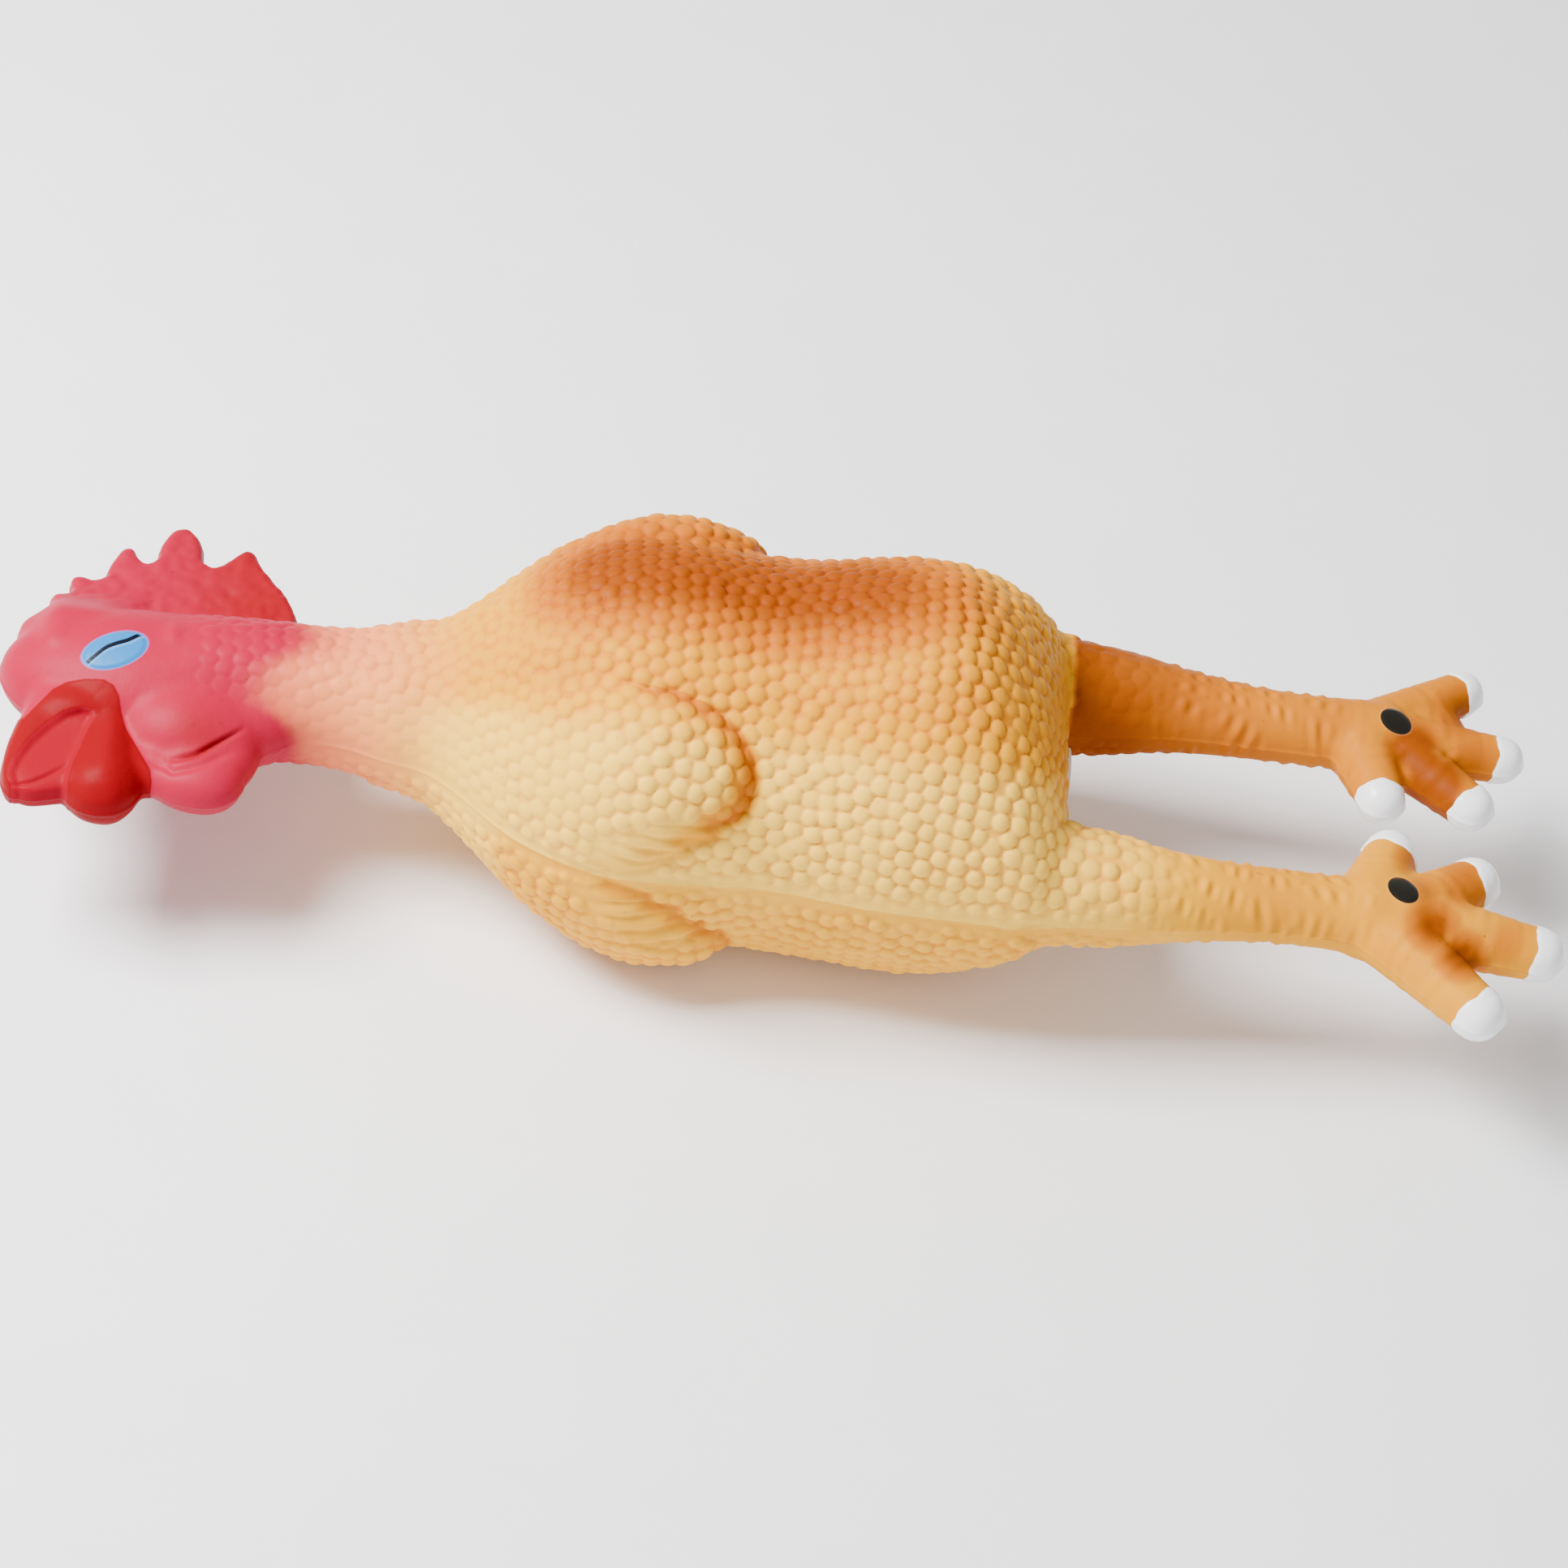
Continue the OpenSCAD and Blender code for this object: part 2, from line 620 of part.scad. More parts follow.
module nail(side) {
    r = nail_r(side);
    hull() {
        cylinder(nail_l - r, r = r, $fn = lobe_fn);
        translate([0, 0, nail_l - r]) intersection() {
            sphere(r, $fn = lobe_fn);
            translate([-r, -r, 0]) cube(2 * r);
        }
    }
}

module toes(side) {
    for (k = [0 : hind_toe])
        hull() {
            ball(foot_x + toe_root(side, k), side * ankle_y, k == hind_toe ? palm_r(side) : toe_r(side));
            along_toe(side, k) translate([0, 0, -nail_r(side)])
                cylinder(nail_r(side), r = nail_r(side), $fn = lobe_fn);
        }
    hull() {
        ball(foot_x + palm_l(side), side * ankle_y, palm_r(side));
        at(foot_x, side * ankle_y) rotate([0, 90, 0]) cylinder(over, r = shank_r, $fn = sides);
    }
}

// Seat of the black oval on top of a foot, and the oval in it
module spot_form(side, rise) {
    at(foot_x + palm_l(side), side * ankle_y, palm_r(side) - spot_t) rotate([0, 0, -side * spot_turn])
        linear_extrude(spot_t + rise) hull()
            for (end = [-1, 1])
                translate([end * (spot_l - spot_w) / 2, 0]) circle(d = spot_w, $fn = lobe_fn);
}

module foot_skin(side) {
    color(latex_orange) difference() {
        toes(side);
        at(foot_x - 2 * shank_r, side * ankle_y - 2 * shank_r, -2 * shank_r)
            cube([2 * shank_r, 4 * shank_r, 4 * shank_r]);
        spot_form(side, over);
    }
}

module nails(side) {
    color(paint_white) for (k = [0 : hind_toe]) along_toe(side, k) nail(side);
}

module foot_spot(side) {
    color(paint_black) spot_form(side, 0);
}

// The squeaker lies on its axis along X in the rear face of the rump
cup_end_x = rump_x - barrel_l;
seat_r = barrel_r - barrel_wall;
tongue_x = cup_end_x + seat_t;

module squeaker_cup() {
    color(squeaker_white) at(cup_end_x, 0) rotate([0, 90, 0]) difference() {
        union() {
            cylinder(barrel_l, r = barrel_r);
            translate([0, 0, barrel_l]) cylinder(flange_t, r = flange_r);
        }
        translate([0, 0, -over]) cylinder(barrel_l + over, r = seat_r);
        cylinder(barrel_l + flange_t + over, r = vent_r);
    }
}

module squeaker_shallot() {
    groove_w = reed_w - 2 * groove_land;
    color(squeaker_white) at(cup_end_x, 0) difference() {
        union() {
            rotate([0, 90, 0]) cylinder(seat_t, r = seat_r);
            translate([seat_t, -tongue_w / 2, -tongue_t]) cube([tongue_l, tongue_w, tongue_t]);
        }
        translate([-over, -groove_w / 2, -tongue_t / 2]) cube([seat_t + tongue_l, groove_w, tongue_t]);
    }
}

module squeaker_reed() {
    color(reed_amber) at(tongue_x + reed_gap, -reed_w / 2, reed_gap)
        cube([tongue_l - reed_gap, reed_w, reed_t]);
}

module squeaker_wedge() {
    color(squeaker_white) at(tongue_x, -tongue_w / 2, 2 * reed_gap + reed_t) cube([wedge_l, tongue_w, wedge_h]);
}

torso_skin();
wing(-1);  // left_wing
wing(1);  // right_wing
neck_base_fold();
neck_skin();
neck_top_fold();
head_skin();
comb();
beak();
red_wattle();
cheek_wattle();
eye(1);  // left_eye
eye(-1);  // right_eye
hip_fold(-1);  // left_hip_fold
hip_fold(1);  // right_hip_fold
leg_skin(-1);  // left_leg_skin
leg_skin(1);  // right_leg_skin
ankle_fold(-1);  // left_ankle_fold
ankle_fold(1);  // right_ankle_fold
foot_skin(-1);  // left_foot_skin
foot_skin(1);  // right_foot_skin
nails(-1);  // left_nails
nails(1);  // right_nails
foot_spot(-1);  // left_foot_spot
foot_spot(1);  // right_foot_spot
squeaker_cup();
squeaker_shallot();
squeaker_wedge();
squeaker_reed();
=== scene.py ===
"""Latex rubber chicken: one moulded skin, divided where it bends, with painted nails, eyes and foot ovals.

Sizes are millimetres from the part's own frame. Until a piece is finished, z is counted from the mould
seam. The mesh is made as one skin, because that is how the latex is cast, and divided at the end.
"""
import itertools
import math

import bmesh
import bpy
import numpy as np
from mathutils import Matrix, Vector, noise
from mathutils.kdtree import KDTree


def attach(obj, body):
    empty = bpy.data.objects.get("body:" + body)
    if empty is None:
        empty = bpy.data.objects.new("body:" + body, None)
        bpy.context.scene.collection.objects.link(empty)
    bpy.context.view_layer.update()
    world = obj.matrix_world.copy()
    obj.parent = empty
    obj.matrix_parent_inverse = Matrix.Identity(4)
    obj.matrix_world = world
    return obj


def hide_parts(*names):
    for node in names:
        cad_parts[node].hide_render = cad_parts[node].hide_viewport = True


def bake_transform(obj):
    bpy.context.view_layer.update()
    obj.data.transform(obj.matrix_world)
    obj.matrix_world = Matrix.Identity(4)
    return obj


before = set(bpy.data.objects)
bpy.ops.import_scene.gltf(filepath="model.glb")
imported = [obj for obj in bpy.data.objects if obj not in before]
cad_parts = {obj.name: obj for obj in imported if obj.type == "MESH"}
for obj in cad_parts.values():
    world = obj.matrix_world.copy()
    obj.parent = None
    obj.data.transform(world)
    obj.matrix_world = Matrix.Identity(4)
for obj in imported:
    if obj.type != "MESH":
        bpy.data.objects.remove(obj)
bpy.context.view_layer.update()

rng = np.random.default_rng(11)

MM = 0.001
# The mould seam's height, and how far it stands out and how wide
SEAM_Z, SEAM_RISE, SEAM_WIDE = 52.5, 0.35, 0.55
# Size of the skin's even faces, and of those of the comb and beak before they join it
VOXEL, PLATE_VOXEL = 0.62, 0.9
# Share that is left of what would reach below the table
BELLY_SQUASH = 0.15

# Places along the body, from the forehead to the ankles
FOREHEAD_X, BROW_X, HEAD_X = -221.4, -180.0, -152.0
NECK_TOP_X, NECK_MID_X, NECK_ROOT_X = -134.0, -128.0, -106.0
HIP_X, RUMP_X, LEG_X, ANKLE_X, FOOT_X = 36.0, 79.0, 101.0, 147.0, 159.0
NECK_R, NECK_ROOT_R = 19.0, 23.5
HEAD_H, HEAD_T, HEAD_DROP = 24.0, 18.0, 4.5
LEG_Y, ANKLE_Y = 38.0, 36.0
LEG_ROOT_R, THIGH_R, SHANK_R = 17.0, 14.3, 10.4


def ease(t):
    """0 up to t = 0, 1 from t = 1, and smooth between them."""
    t = np.clip(t, 0, 1)
    return t * t * (3 - 2 * t)


def ramp(x, start, stretch):
    """0 up to start and 1 past the stretch that begins there. A negative stretch runs the other way."""
    return ease((x - start) / stretch)


def mix(a, b, t):
    """From a at t = 0 to b at t = 1."""
    return a + (b - a) * t


def quarter(t):
    """Height of a quarter circle: 1 at t = 0, falling to 0 at t = 1."""
    return np.sqrt(1 - np.clip(t, 0, 1) ** 2)


def bell(d, width):
    """1 at d = 0, fading to both sides over width."""
    return np.exp(-((d / width) ** 2))


def curve(points, x):
    """Height of a smooth curve through points, level at both ends."""
    px, py = np.array(points, float).T
    slope = np.zeros(len(px))
    slope[1:-1] = (py[2:] - py[:-2]) / (px[2:] - px[:-2])
    i = np.clip(np.searchsorted(px, x) - 1, 0, len(px) - 2)
    d = px[i + 1] - px[i]
    t = np.clip((x - px[i]) / d, 0, 1)
    rise = (t**3 - 2 * t**2 + t) * d * slope[i] + (t**3 - t**2) * d * slope[i + 1]
    return mix(py[i], py[i + 1], ease(t)) + rise


# The trunk's half sizes at places along the body: to its sides, above the seam and below it
HIP_W, HIP_TOP, HIP_BOTTOM = 57.0, 61.0, 53.0
FRONT = [(NECK_ROOT_X, NECK_ROOT_R), (-70, 48), (-44, 56.5), (-4, 54)]
SIDE = FRONT + [(HIP_X, HIP_W)]
BACK = FRONT + [(HIP_X, HIP_TOP)]
BELLY = [(NECK_ROOT_X, NECK_ROOT_R), (-70, 44), (-44, 53), (-4, 53), (HIP_X, HIP_BOTTOM)]
# The rump's half sizes at its end, how it falls and rounds to it, and how square the sections are
RUMP_W, RUMP_H, RUMP_FALL, RUMP_ROUND = 57.0, 19.5, 1.9, 12.0
ROUND_POWER, BELLY_POWER, RUMP_POWER = 2.0, 2.2, 2.6


def trunk_tables():
    """Half sizes of the trunk at every half millimetre, softened so that no kink shows."""
    x = np.arange(FOREHEAD_X, RUMP_X + 0.25, 0.5)
    brow = ramp(x, HEAD_X, BROW_X - HEAD_X)
    face = quarter((BROW_X - x) / (BROW_X - FOREHEAD_X))
    neck = mix(NECK_R, NECK_ROOT_R, ramp(x, NECK_MID_X, NECK_ROOT_X - NECK_MID_X) ** 1.2)
    left = quarter((x - HIP_X) / (RUMP_X - HIP_X)) ** RUMP_FALL
    on_torso, past_hip = x > NECK_ROOT_X, x > HIP_X

    def along(head, torso, hip, rump):
        body = np.where(past_hip, mix(rump, hip, left), curve(torso, x))
        return np.where(on_torso, body, mix(neck, head, brow))

    reach = 16
    blur = bell(np.arange(-reach, reach + 1), reach / 2)
    blur /= blur.sum()
    table = {}
    for name, values in (
        ("w", along(HEAD_H, SIDE, HIP_W, RUMP_W)),
        ("top", along(HEAD_T, BACK, HIP_TOP, RUMP_H)),
        ("bottom", along(HEAD_T, BELLY, HIP_BOTTOM, RUMP_H)),
        ("y", -HEAD_DROP * brow),
    ):
        table[name] = np.convolve(np.pad(values, reach, mode="edge"), blur, mode="valid")
    for name in ("w", "top", "bottom"):
        table[name] = table[name] * face
    square = np.clip((x - HIP_X) / (RUMP_X - HIP_X), 0, 1) ** 2
    table["upper"] = mix(ROUND_POWER, RUMP_POWER, square)
    table["lower"] = mix(np.where(x < NECK_ROOT_X, ROUND_POWER, BELLY_POWER), RUMP_POWER, square)
    return x, table


TRUNK_X, TRUNK = trunk_tables()


def trunk(name, x):
    """One of the trunk's half sizes at places x."""
    return np.interp(x, TRUNK_X, TRUNK[name])


def bent(v, power):
    """A sine or cosine bent so that a section is as square as power makes it."""
    return np.sign(v) * np.abs(v) ** (2 / power)


def trunk_point(x, a):
    """Points of the trunk's plain skin at places x and angles a round the body."""
    up = np.sin(a) > 0
    power = np.where(up, trunk("upper", x), trunk("lower", x))
    w, h = trunk("w", x), np.where(up, trunk("top", x), trunk("bottom", x))
    inset = RUMP_ROUND * (1 - quarter((x - RUMP_X + RUMP_ROUND) / RUMP_ROUND))
    w, h = np.maximum(w - inset, 0.1), np.maximum(h - inset, 0.1)
    return np.stack([x, trunk("y", x) + w * bent(np.cos(a), power), h * bent(np.sin(a), power)], -1)


# Edge of a folded wing, from its back over the elbow to its feathered tip: place along the body and degrees
# above the seam. The lower half of the mould mirrors it.
WING_EDGE = [
    (-66, 57), (-48, 58.5), (-40, 57.5), (-32, 57), (-23, 54), (-16, 49), (-11.3, 42), (-10, 35), (-10.8, 29),
    (-13.2, 24.5), (-18.5, 21.5), (-18.5, 17.8), (-26, 14.8), (-26, 11.4), (-34, 9), (-34.5, 5.8), (-46, 3),
]
WING_START_X = -84.0
WING_FRONT = [(WING_START_X, 6), (WING_START_X, 52)]
# Radius at which a wing is unrolled, how far it stands out, and how far behind its start and inside its
# edge it is full
WING_R, WING_RISE, WING_GROWTH, WING_CROWN = 56.0, 6.2, 52, 14.0
# The groove round a wing
WING_GROOVE_DEEP, WING_GROOVE_WIDE = 0.8, 1.8
# Feathers at a wing's tip: where they start, their spacing, and how far they rise and sink
FEATHER_X, FEATHER_PITCH = -60.0, 4.9
QUILL_RISE, QUILL_SINK = 2.4, 1.5


def wing_plane(x, phi):
    """A place on the torso's side unrolled to a plane, in millimetres."""
    return np.stack([x, WING_R * np.abs(phi)], -1)


def edge_distance(points, path):
    """Distance from points to an open path, and the length along the path of the nearest place."""
    best = np.full(len(points), 1e9)
    place = np.zeros(len(points))
    walked = 0.0
    for p, q in zip(path[:-1], path[1:]):
        way = q - p
        length = np.linalg.norm(way)
        t = np.clip((points - p) @ way / length**2, 0, 1)
        d = np.linalg.norm(points - p - t[:, None] * way, axis=1)
        place = np.where(d < best, walked + t * length, place)
        best = np.minimum(best, d)
        walked += length
    return best, place


def inside(points, outline):
    """Which points lie inside a closed outline."""
    hit = np.zeros(len(points), bool)
    for p, q in zip(outline, np.roll(outline, -1, axis=0)):
        crosses = (p[1] > points[:, 1]) != (q[1] > points[:, 1])
        at = p[0] + (points[:, 1] - p[1]) * (q[0] - p[0]) / (q[1] - p[1] + 1e-12)
        hit ^= crosses & (points[:, 0] < at)
    return hit


def wing_field(x, phi):
    """Signed distance inside a wing's edge, and the length along the edge of the nearest place."""
    edge = wing_plane(*np.array([(px, math.radians(d)) for px, d in WING_EDGE]).T)
    front = wing_plane(*np.array([(px, math.radians(d)) for px, d in WING_FRONT]).T)
    points = wing_plane(x, phi)
    d, place = edge_distance(points, edge)
    return np.where(inside(points, np.concatenate([edge, front])), d, -d), place


def wing_relief(x, phi):
    """How far a folded wing stands out of the torso, with a groove along its edge and feathers at its tip."""
    d, _ = wing_field(x, phi)
    s = WING_R * np.abs(phi)
    fade = ramp(x, WING_START_X, WING_GROWTH)
    height = WING_RISE * fade * mix(0.42, 1, ramp(s, 6, 24))
    crown = 1 - np.clip(1 - d / WING_CROWN, 0, 1) ** 2.4
    groove = WING_GROOVE_DEEP * fade * bell(np.minimum(d, 0), WING_GROOVE_WIDE) * (d < 0)
    across = s + 0.16 * (x + 30) + 0.8 * np.sin(x / 9)
    quill = QUILL_RISE * np.abs(np.cos(np.pi * across / FEATHER_PITCH)) ** 0.7 - QUILL_SINK
    quills = feathered(x, s) * ramp(x, FEATHER_X, 22) * quill
    return np.where(d > 0, height * crown + quills * ease(d / 1.5), -groove)


def feathered(x, s):
    """1 on the bare feathers at a wing's tip and 0 ahead of them."""
    top = np.interp(x, [-58, -47, -37, -15], [5, 13.5, 22, 24.5])
    return ramp(s, top, -1.5) * ramp(s, 2.5, 2) * ramp(x, FEATHER_X, 4)


def trunk_skin(x, a):
    """Points of the trunk with its folded wings."""
    points = trunk_point(x, a)
    phi = np.arctan2(points[:, 2], np.abs(points[:, 1]))
    near = (x > WING_START_X - 6) & (x < 0)
    rise = np.zeros(len(x))
    rise[near] = wing_relief(x[near], phi[near])
    out = points * (0, 1, 1)
    out /= np.maximum(np.linalg.norm(out, axis=1), 1e-6)[:, None]
    return points + out * rise[:, None]


def column(items, name, width=1, kind=float):
    """One property of all of a mesh's items, in rows where it has a width."""
    values = np.empty(len(items) * width, kind)
    items.foreach_get(name, values)
    return values.reshape(-1, width) if width > 1 else values


def coordinates(mesh):
    """Places of a mesh's points."""
    return column(mesh.vertices, "co", 3)


def vertex_normals(mesh):
    """Normals at a mesh's points."""
    return column(mesh.vertex_normals, "vector", 3)


def as_mesh(bm, name):
    """A new mesh from a form, which is then let go."""
    mesh = bpy.data.meshes.new(name)
    bm.to_mesh(mesh)
    bm.free()
    return mesh


def add_object(name, data):
    """A new object in the scene."""
    obj = bpy.data.objects.new(name, data)
    bpy.context.scene.collection.objects.link(obj)
    return obj


def sheet_form(n_u, n_v, place):
    """A closed form: a grid whose long way is place's u and which wraps round in v, with closed ends."""
    bm = bmesh.new()
    bmesh.ops.create_grid(bm, x_segments=n_u, y_segments=n_v, size=0.5)
    mesh = as_mesh(bm, "form")
    u, v = coordinates(mesh).T[:2] + 0.5
    mesh.vertices.foreach_set("co", place(u, 2 * math.pi * v).ravel())
    bm = bmesh.new()
    bm.from_mesh(mesh)
    bpy.data.meshes.remove(mesh)
    bmesh.ops.remove_doubles(bm, verts=bm.verts[:], dist=1e-3)
    bmesh.ops.recalc_face_normals(bm, faces=bm.faces[:])
    return bm


def capsule(start, end, r0, r1, flat=1.0):
    """A round-ended tapering form between two points, flattened by flat across the seam's plane."""
    start, end = np.array(start, float), np.array(end, float)
    way = end - start
    length = np.linalg.norm(way)
    way /= length
    side = np.cross((0, 0, 1.0), way)
    side /= np.linalg.norm(side)
    up = np.cross(way, side)

    def place(u, a):
        t = -r0 + u * (length + r0 + r1)
        r = mix(r0, r1, np.clip(t / length, 0, 1))
        r = r * np.where(t < 0, quarter(-t / r0), np.where(t > length, quarter((t - length) / r1), 1))
        across = np.outer(r * np.cos(a), side) + np.outer(flat * r * np.sin(a), up)
        return start + np.outer(t, way) + across

    return sheet_form(48, 48, place)


def trunk_form():
    """The trunk from the forehead, where its rings stand closer, to the rump, which the last rings close."""
    face_share, body_share, end_share = 0.15, 0.97, 0.03
    face_l = face_share / body_share * (RUMP_X - FOREHEAD_X)

    def place(u, a):
        x = mix(FOREHEAD_X, RUMP_X, np.clip(u / body_share, 0, 1))
        x = np.where(u < face_share, FOREHEAD_X + (x - FOREHEAD_X) ** 2 / face_l, x)
        points = trunk_skin(x, a)
        shut = np.clip((1 - u) / end_share, 0, 1)[:, None]
        return np.concatenate([points[:, :1], points[:, 1:] * shut], 1)

    return sheet_form(520, 420, place)


def leg_middle(x):
    """How far a leg's middle stands from the body's middle."""
    return mix(LEG_Y, ANKLE_Y, ramp(x, LEG_X, ANKLE_X - LEG_X))


def leg_radius(x):
    """A leg's radius, which tapers to the ankle."""
    thigh = mix(LEG_ROOT_R, THIGH_R, (x - RUMP_X) / (LEG_X - RUMP_X))
    shank = mix(SHANK_R, THIGH_R, np.clip(1 - (x - LEG_X) / (ANKLE_X - LEG_X), 0, 1) ** 2)
    return np.where(x < LEG_X, thigh, shank)


def leg_form(side):
    """A leg, which flares into the rump ahead of its root."""
    start, end, flare_r = 54.0, FOOT_X + 4, 22

    def place(u, a):
        x = mix(start, end, u)
        flare = np.clip((RUMP_X - x) / (RUMP_X - start), 0, 1)
        r = leg_radius(np.maximum(x, RUMP_X))
        out, inner = leg_middle(x) + r - 1.5 * flare, leg_middle(x) - r - flare_r * flare**1.5
        shut = quarter(1 - u / 0.04) * quarter((u - 0.97) / 0.03)
        y = (out + inner) / 2 + shut * (out - inner) / 2 * np.cos(a)
        return np.stack([x, side * y, shut * (r + flare_r * flare**1.3) * np.sin(a)], -1)

    return sheet_form(90, 64, place)


class Foot:
    """Sizes of one foot: palm, toe roots, nails, where its oval stands in the picture, and each toe's reach
    past the ankle and outwards of it."""

    def __init__(self, side, palm_r, palm_l, toe_r, nail_r, nail_l, oval, toes):
        self.side, self.palm_r, self.palm_l, self.toe_r = side, palm_r, palm_l, toe_r
        self.nail_r, self.nail_l, self.oval, self.toes = nail_r, nail_l, oval, toes

    def point(self, reach, out, z=0.0):
        """A place so far past the ankle and outwards of it."""
        return np.array([FOOT_X + reach, self.side * (ANKLE_Y + out), z])

    def root(self, toe):
        """Where a toe leaves the palm."""
        return self.point(self.palm_l * (0.5 if toe in ("outer", "hind") else 1.0), 0)

    def tip(self, toe):
        """Where a toe ends."""
        return self.point(*self.toes[toe])


# Middles of the dark ovals in the picture, in pixels
LEFT_OVAL, RIGHT_OVAL = (1729, 1097), (1720, 889)
LEFT = Foot(
    side=-1, palm_r=12.5, palm_l=16, toe_r=10.8, nail_r=8.0, nail_l=10.5, oval=LEFT_OVAL,
    toes={"middle": (64, 8), "outer": (43, 38), "inner": (45, -23), "hind": (17, -33)},
)
RIGHT = Foot(
    side=1, palm_r=11, palm_l=14, toe_r=9.3, nail_r=7.2, nail_l=10.0, oval=RIGHT_OVAL,
    toes={"middle": (57, -3), "outer": (45, 28), "inner": (45, -29), "hind": (15, -33)},
)


# The web between the toes: its middle past the palm and outwards, and its radii
WEB_REACH, WEB_OUT, WEB_RADII = 9, 5, (17, 14, 7)


def foot_forms(foot):
    """Forms of a foot: shank end, palm, the web between the toes, and the toes."""
    yield capsule(foot.point(-3, 0), foot.point(foot.palm_l, 0), SHANK_R, foot.palm_r)
    yield lump(foot.point(foot.palm_l + WEB_REACH, WEB_OUT), WEB_RADII)
    for toe in foot.toes:
        root, tip = foot.root(toe), foot.tip(toe)
        way = (tip - root) / np.linalg.norm(tip - root)
        r0 = foot.palm_r if toe == "hind" else foot.toe_r
        yield capsule(root, tip - way * (foot.nail_r + 0.6), r0, foot.nail_r - 0.4)


def even_mesh(mesh, size):
    """One closed skin of even faces round everything in a mesh."""
    obj = add_object("forms", mesh)
    remesh = obj.modifiers.new("even", "REMESH")
    remesh.mode = "VOXEL"
    remesh.voxel_size = size
    graph = bpy.context.evaluated_depsgraph_get()
    even = bpy.data.meshes.new_from_object(obj.evaluated_get(graph))
    bpy.data.objects.remove(obj)
    bpy.data.meshes.remove(mesh)
    return even


# Rim of the comb, lobe by lobe from the forehead to the nape, and back inside the head
COMB_RIM = [
    (-217.5, -3), (-218, 4), (-217.6, 12.6), (-211.8, 14.8), (-211.4, 22.4), (-206.8, 25), (-206.8, 33),
    (-199.5, 33.2), (-197.2, 41.5), (-192.8, 48.2), (-189, 43.6), (-186.4, 42.8), (-184, 52.4),
    (-179.3, 59.4), (-173.6, 55), (-169.2, 44.4), (-164, 48.6), (-158.6, 53), (-154.6, 47), (-150.6, 41.8),
    (-145.8, 35.4), (-141.4, 24.5), (-143, 10), (-165, 4), (-200, -8),
]
COMB_T, COMB_EDGE = 3.7, 2.2
# Rim of the closed beak, from its root under the forehead round its tip
BEAK_RIM = [
    (-203, -6), (-210.4, -22), (-213, -33), (-213.8, -44.5), (-212.8, -50.5), (-210, -53.8), (-206, -55.4),
    (-200, -54), (-194, -51), (-188, -38), (-184, -20), (-188, -6),
]
BEAK_T, BEAK_EDGE = 6.4, 3.6
# The red wattle's two ends, its radii there, and how flat it is
WATTLE_TOP, WATTLE_END = (-188, -13, 0), (-186.4, -46, 0)
WATTLE_TOP_R, WATTLE_END_R, WATTLE_FLAT = 8, 10.8, 0.92
# Round lumps of the head, each with its middle and its three radii: the chin, the beak's root, the jowl, the
# cheek, the wattle under it and the jaw
HEAD_LUMPS = [
    ((-174.5, -37.6, 0), (10, 8, 6.5)),
    ((-197.5, -23.5, 0), (15, 8.5, 11.8)),
    ((-155.5, -30, 0), (8.2, 9, 7)),
    ((-167, -22, 0), (20, 16, 14.5)),
    ((-162.3, -40, 0), (12.4, 9.3, 8)),
    ((-152, -16, 0), (15, 9, 10)),
]


def plate_form(outline, thick, edge, swell):
    """A plate across the seam's plane with a rounded rim, made thicker by swell at each place x, y."""
    data = bpy.data.curves.new("plate", "CURVE")
    data.dimensions = "2D"
    data.fill_mode = "BOTH"
    data.extrude, data.bevel_depth, data.offset = thick - edge, edge, -edge
    data.bevel_resolution = 5
    rim = data.splines.new("BEZIER")
    rim.bezier_points.add(len(outline) - 1)
    rim.use_cyclic_u = True
    rim.resolution_u = 8
    for knot, place in zip(rim.bezier_points, outline):
        knot.co = (*place, 0)
        knot.handle_left_type = knot.handle_right_type = "AUTO"
    plate = add_object("plate", data)
    graph = bpy.context.evaluated_depsgraph_get()
    mesh = even_mesh(bpy.data.meshes.new_from_object(plate.evaluated_get(graph)), PLATE_VOXEL)
    bpy.data.objects.remove(plate)
    x, y, z = coordinates(mesh).T
    mesh.vertices.foreach_set("co", np.stack([x, y, z * (1 + swell(x, y) / thick)], -1).ravel())
    bm = bmesh.new()
    bm.from_mesh(mesh)
    return bm


def comb_swell(x, y):
    """The comb is lumpy, and its front thickens into the forehead."""
    fine = np.array([noise.noise((a / 2.6, b / 2.6, 0)) for a, b in zip(x, y)])
    broad = np.array([noise.noise((a / 6, b / 6, 9)) for a, b in zip(x, y)])
    front = 11.5 * bell(np.maximum(y - 4, 0), 15) * ramp(x, -176, -18) * ramp(x, -220, 14)
    return front + 0.75 * (fine + 0.7 * broad) * ramp(y, 14, 8)


def beak_swell(x, y):
    """The beak thins towards its tip."""
    return 3.5 * ramp(y, -48, 34) - 1.4 * ramp(y, -44, -14)


def lump(middle, radii):
    """A round lump with three radii."""
    bm = bmesh.new()
    bmesh.ops.create_icosphere(bm, subdivisions=5, radius=1)
    bmesh.ops.scale(bm, vec=radii, verts=bm.verts[:])
    bmesh.ops.translate(bm, vec=middle, verts=bm.verts[:])
    return bm


def casting_mesh():
    """The whole skin as one even mesh, from all its forms."""
    forms = [
        trunk_form(),
        plate_form(COMB_RIM, COMB_T, COMB_EDGE, comb_swell),
        plate_form(BEAK_RIM, BEAK_T, BEAK_EDGE, beak_swell),
        capsule(WATTLE_TOP, WATTLE_END, WATTLE_TOP_R, WATTLE_END_R, WATTLE_FLAT),
    ]
    forms += [lump(middle, radii) for middle, radii in HEAD_LUMPS]
    for foot in (LEFT, RIGHT):
        forms.append(leg_form(foot.side))
        forms += foot_forms(foot)
    whole = bmesh.new()
    for bm in forms:
        mesh = as_mesh(bm, "form")
        whole.from_mesh(mesh)
        bpy.data.meshes.remove(mesh)
    return even_mesh(as_mesh(whole, "casting"), VOXEL)


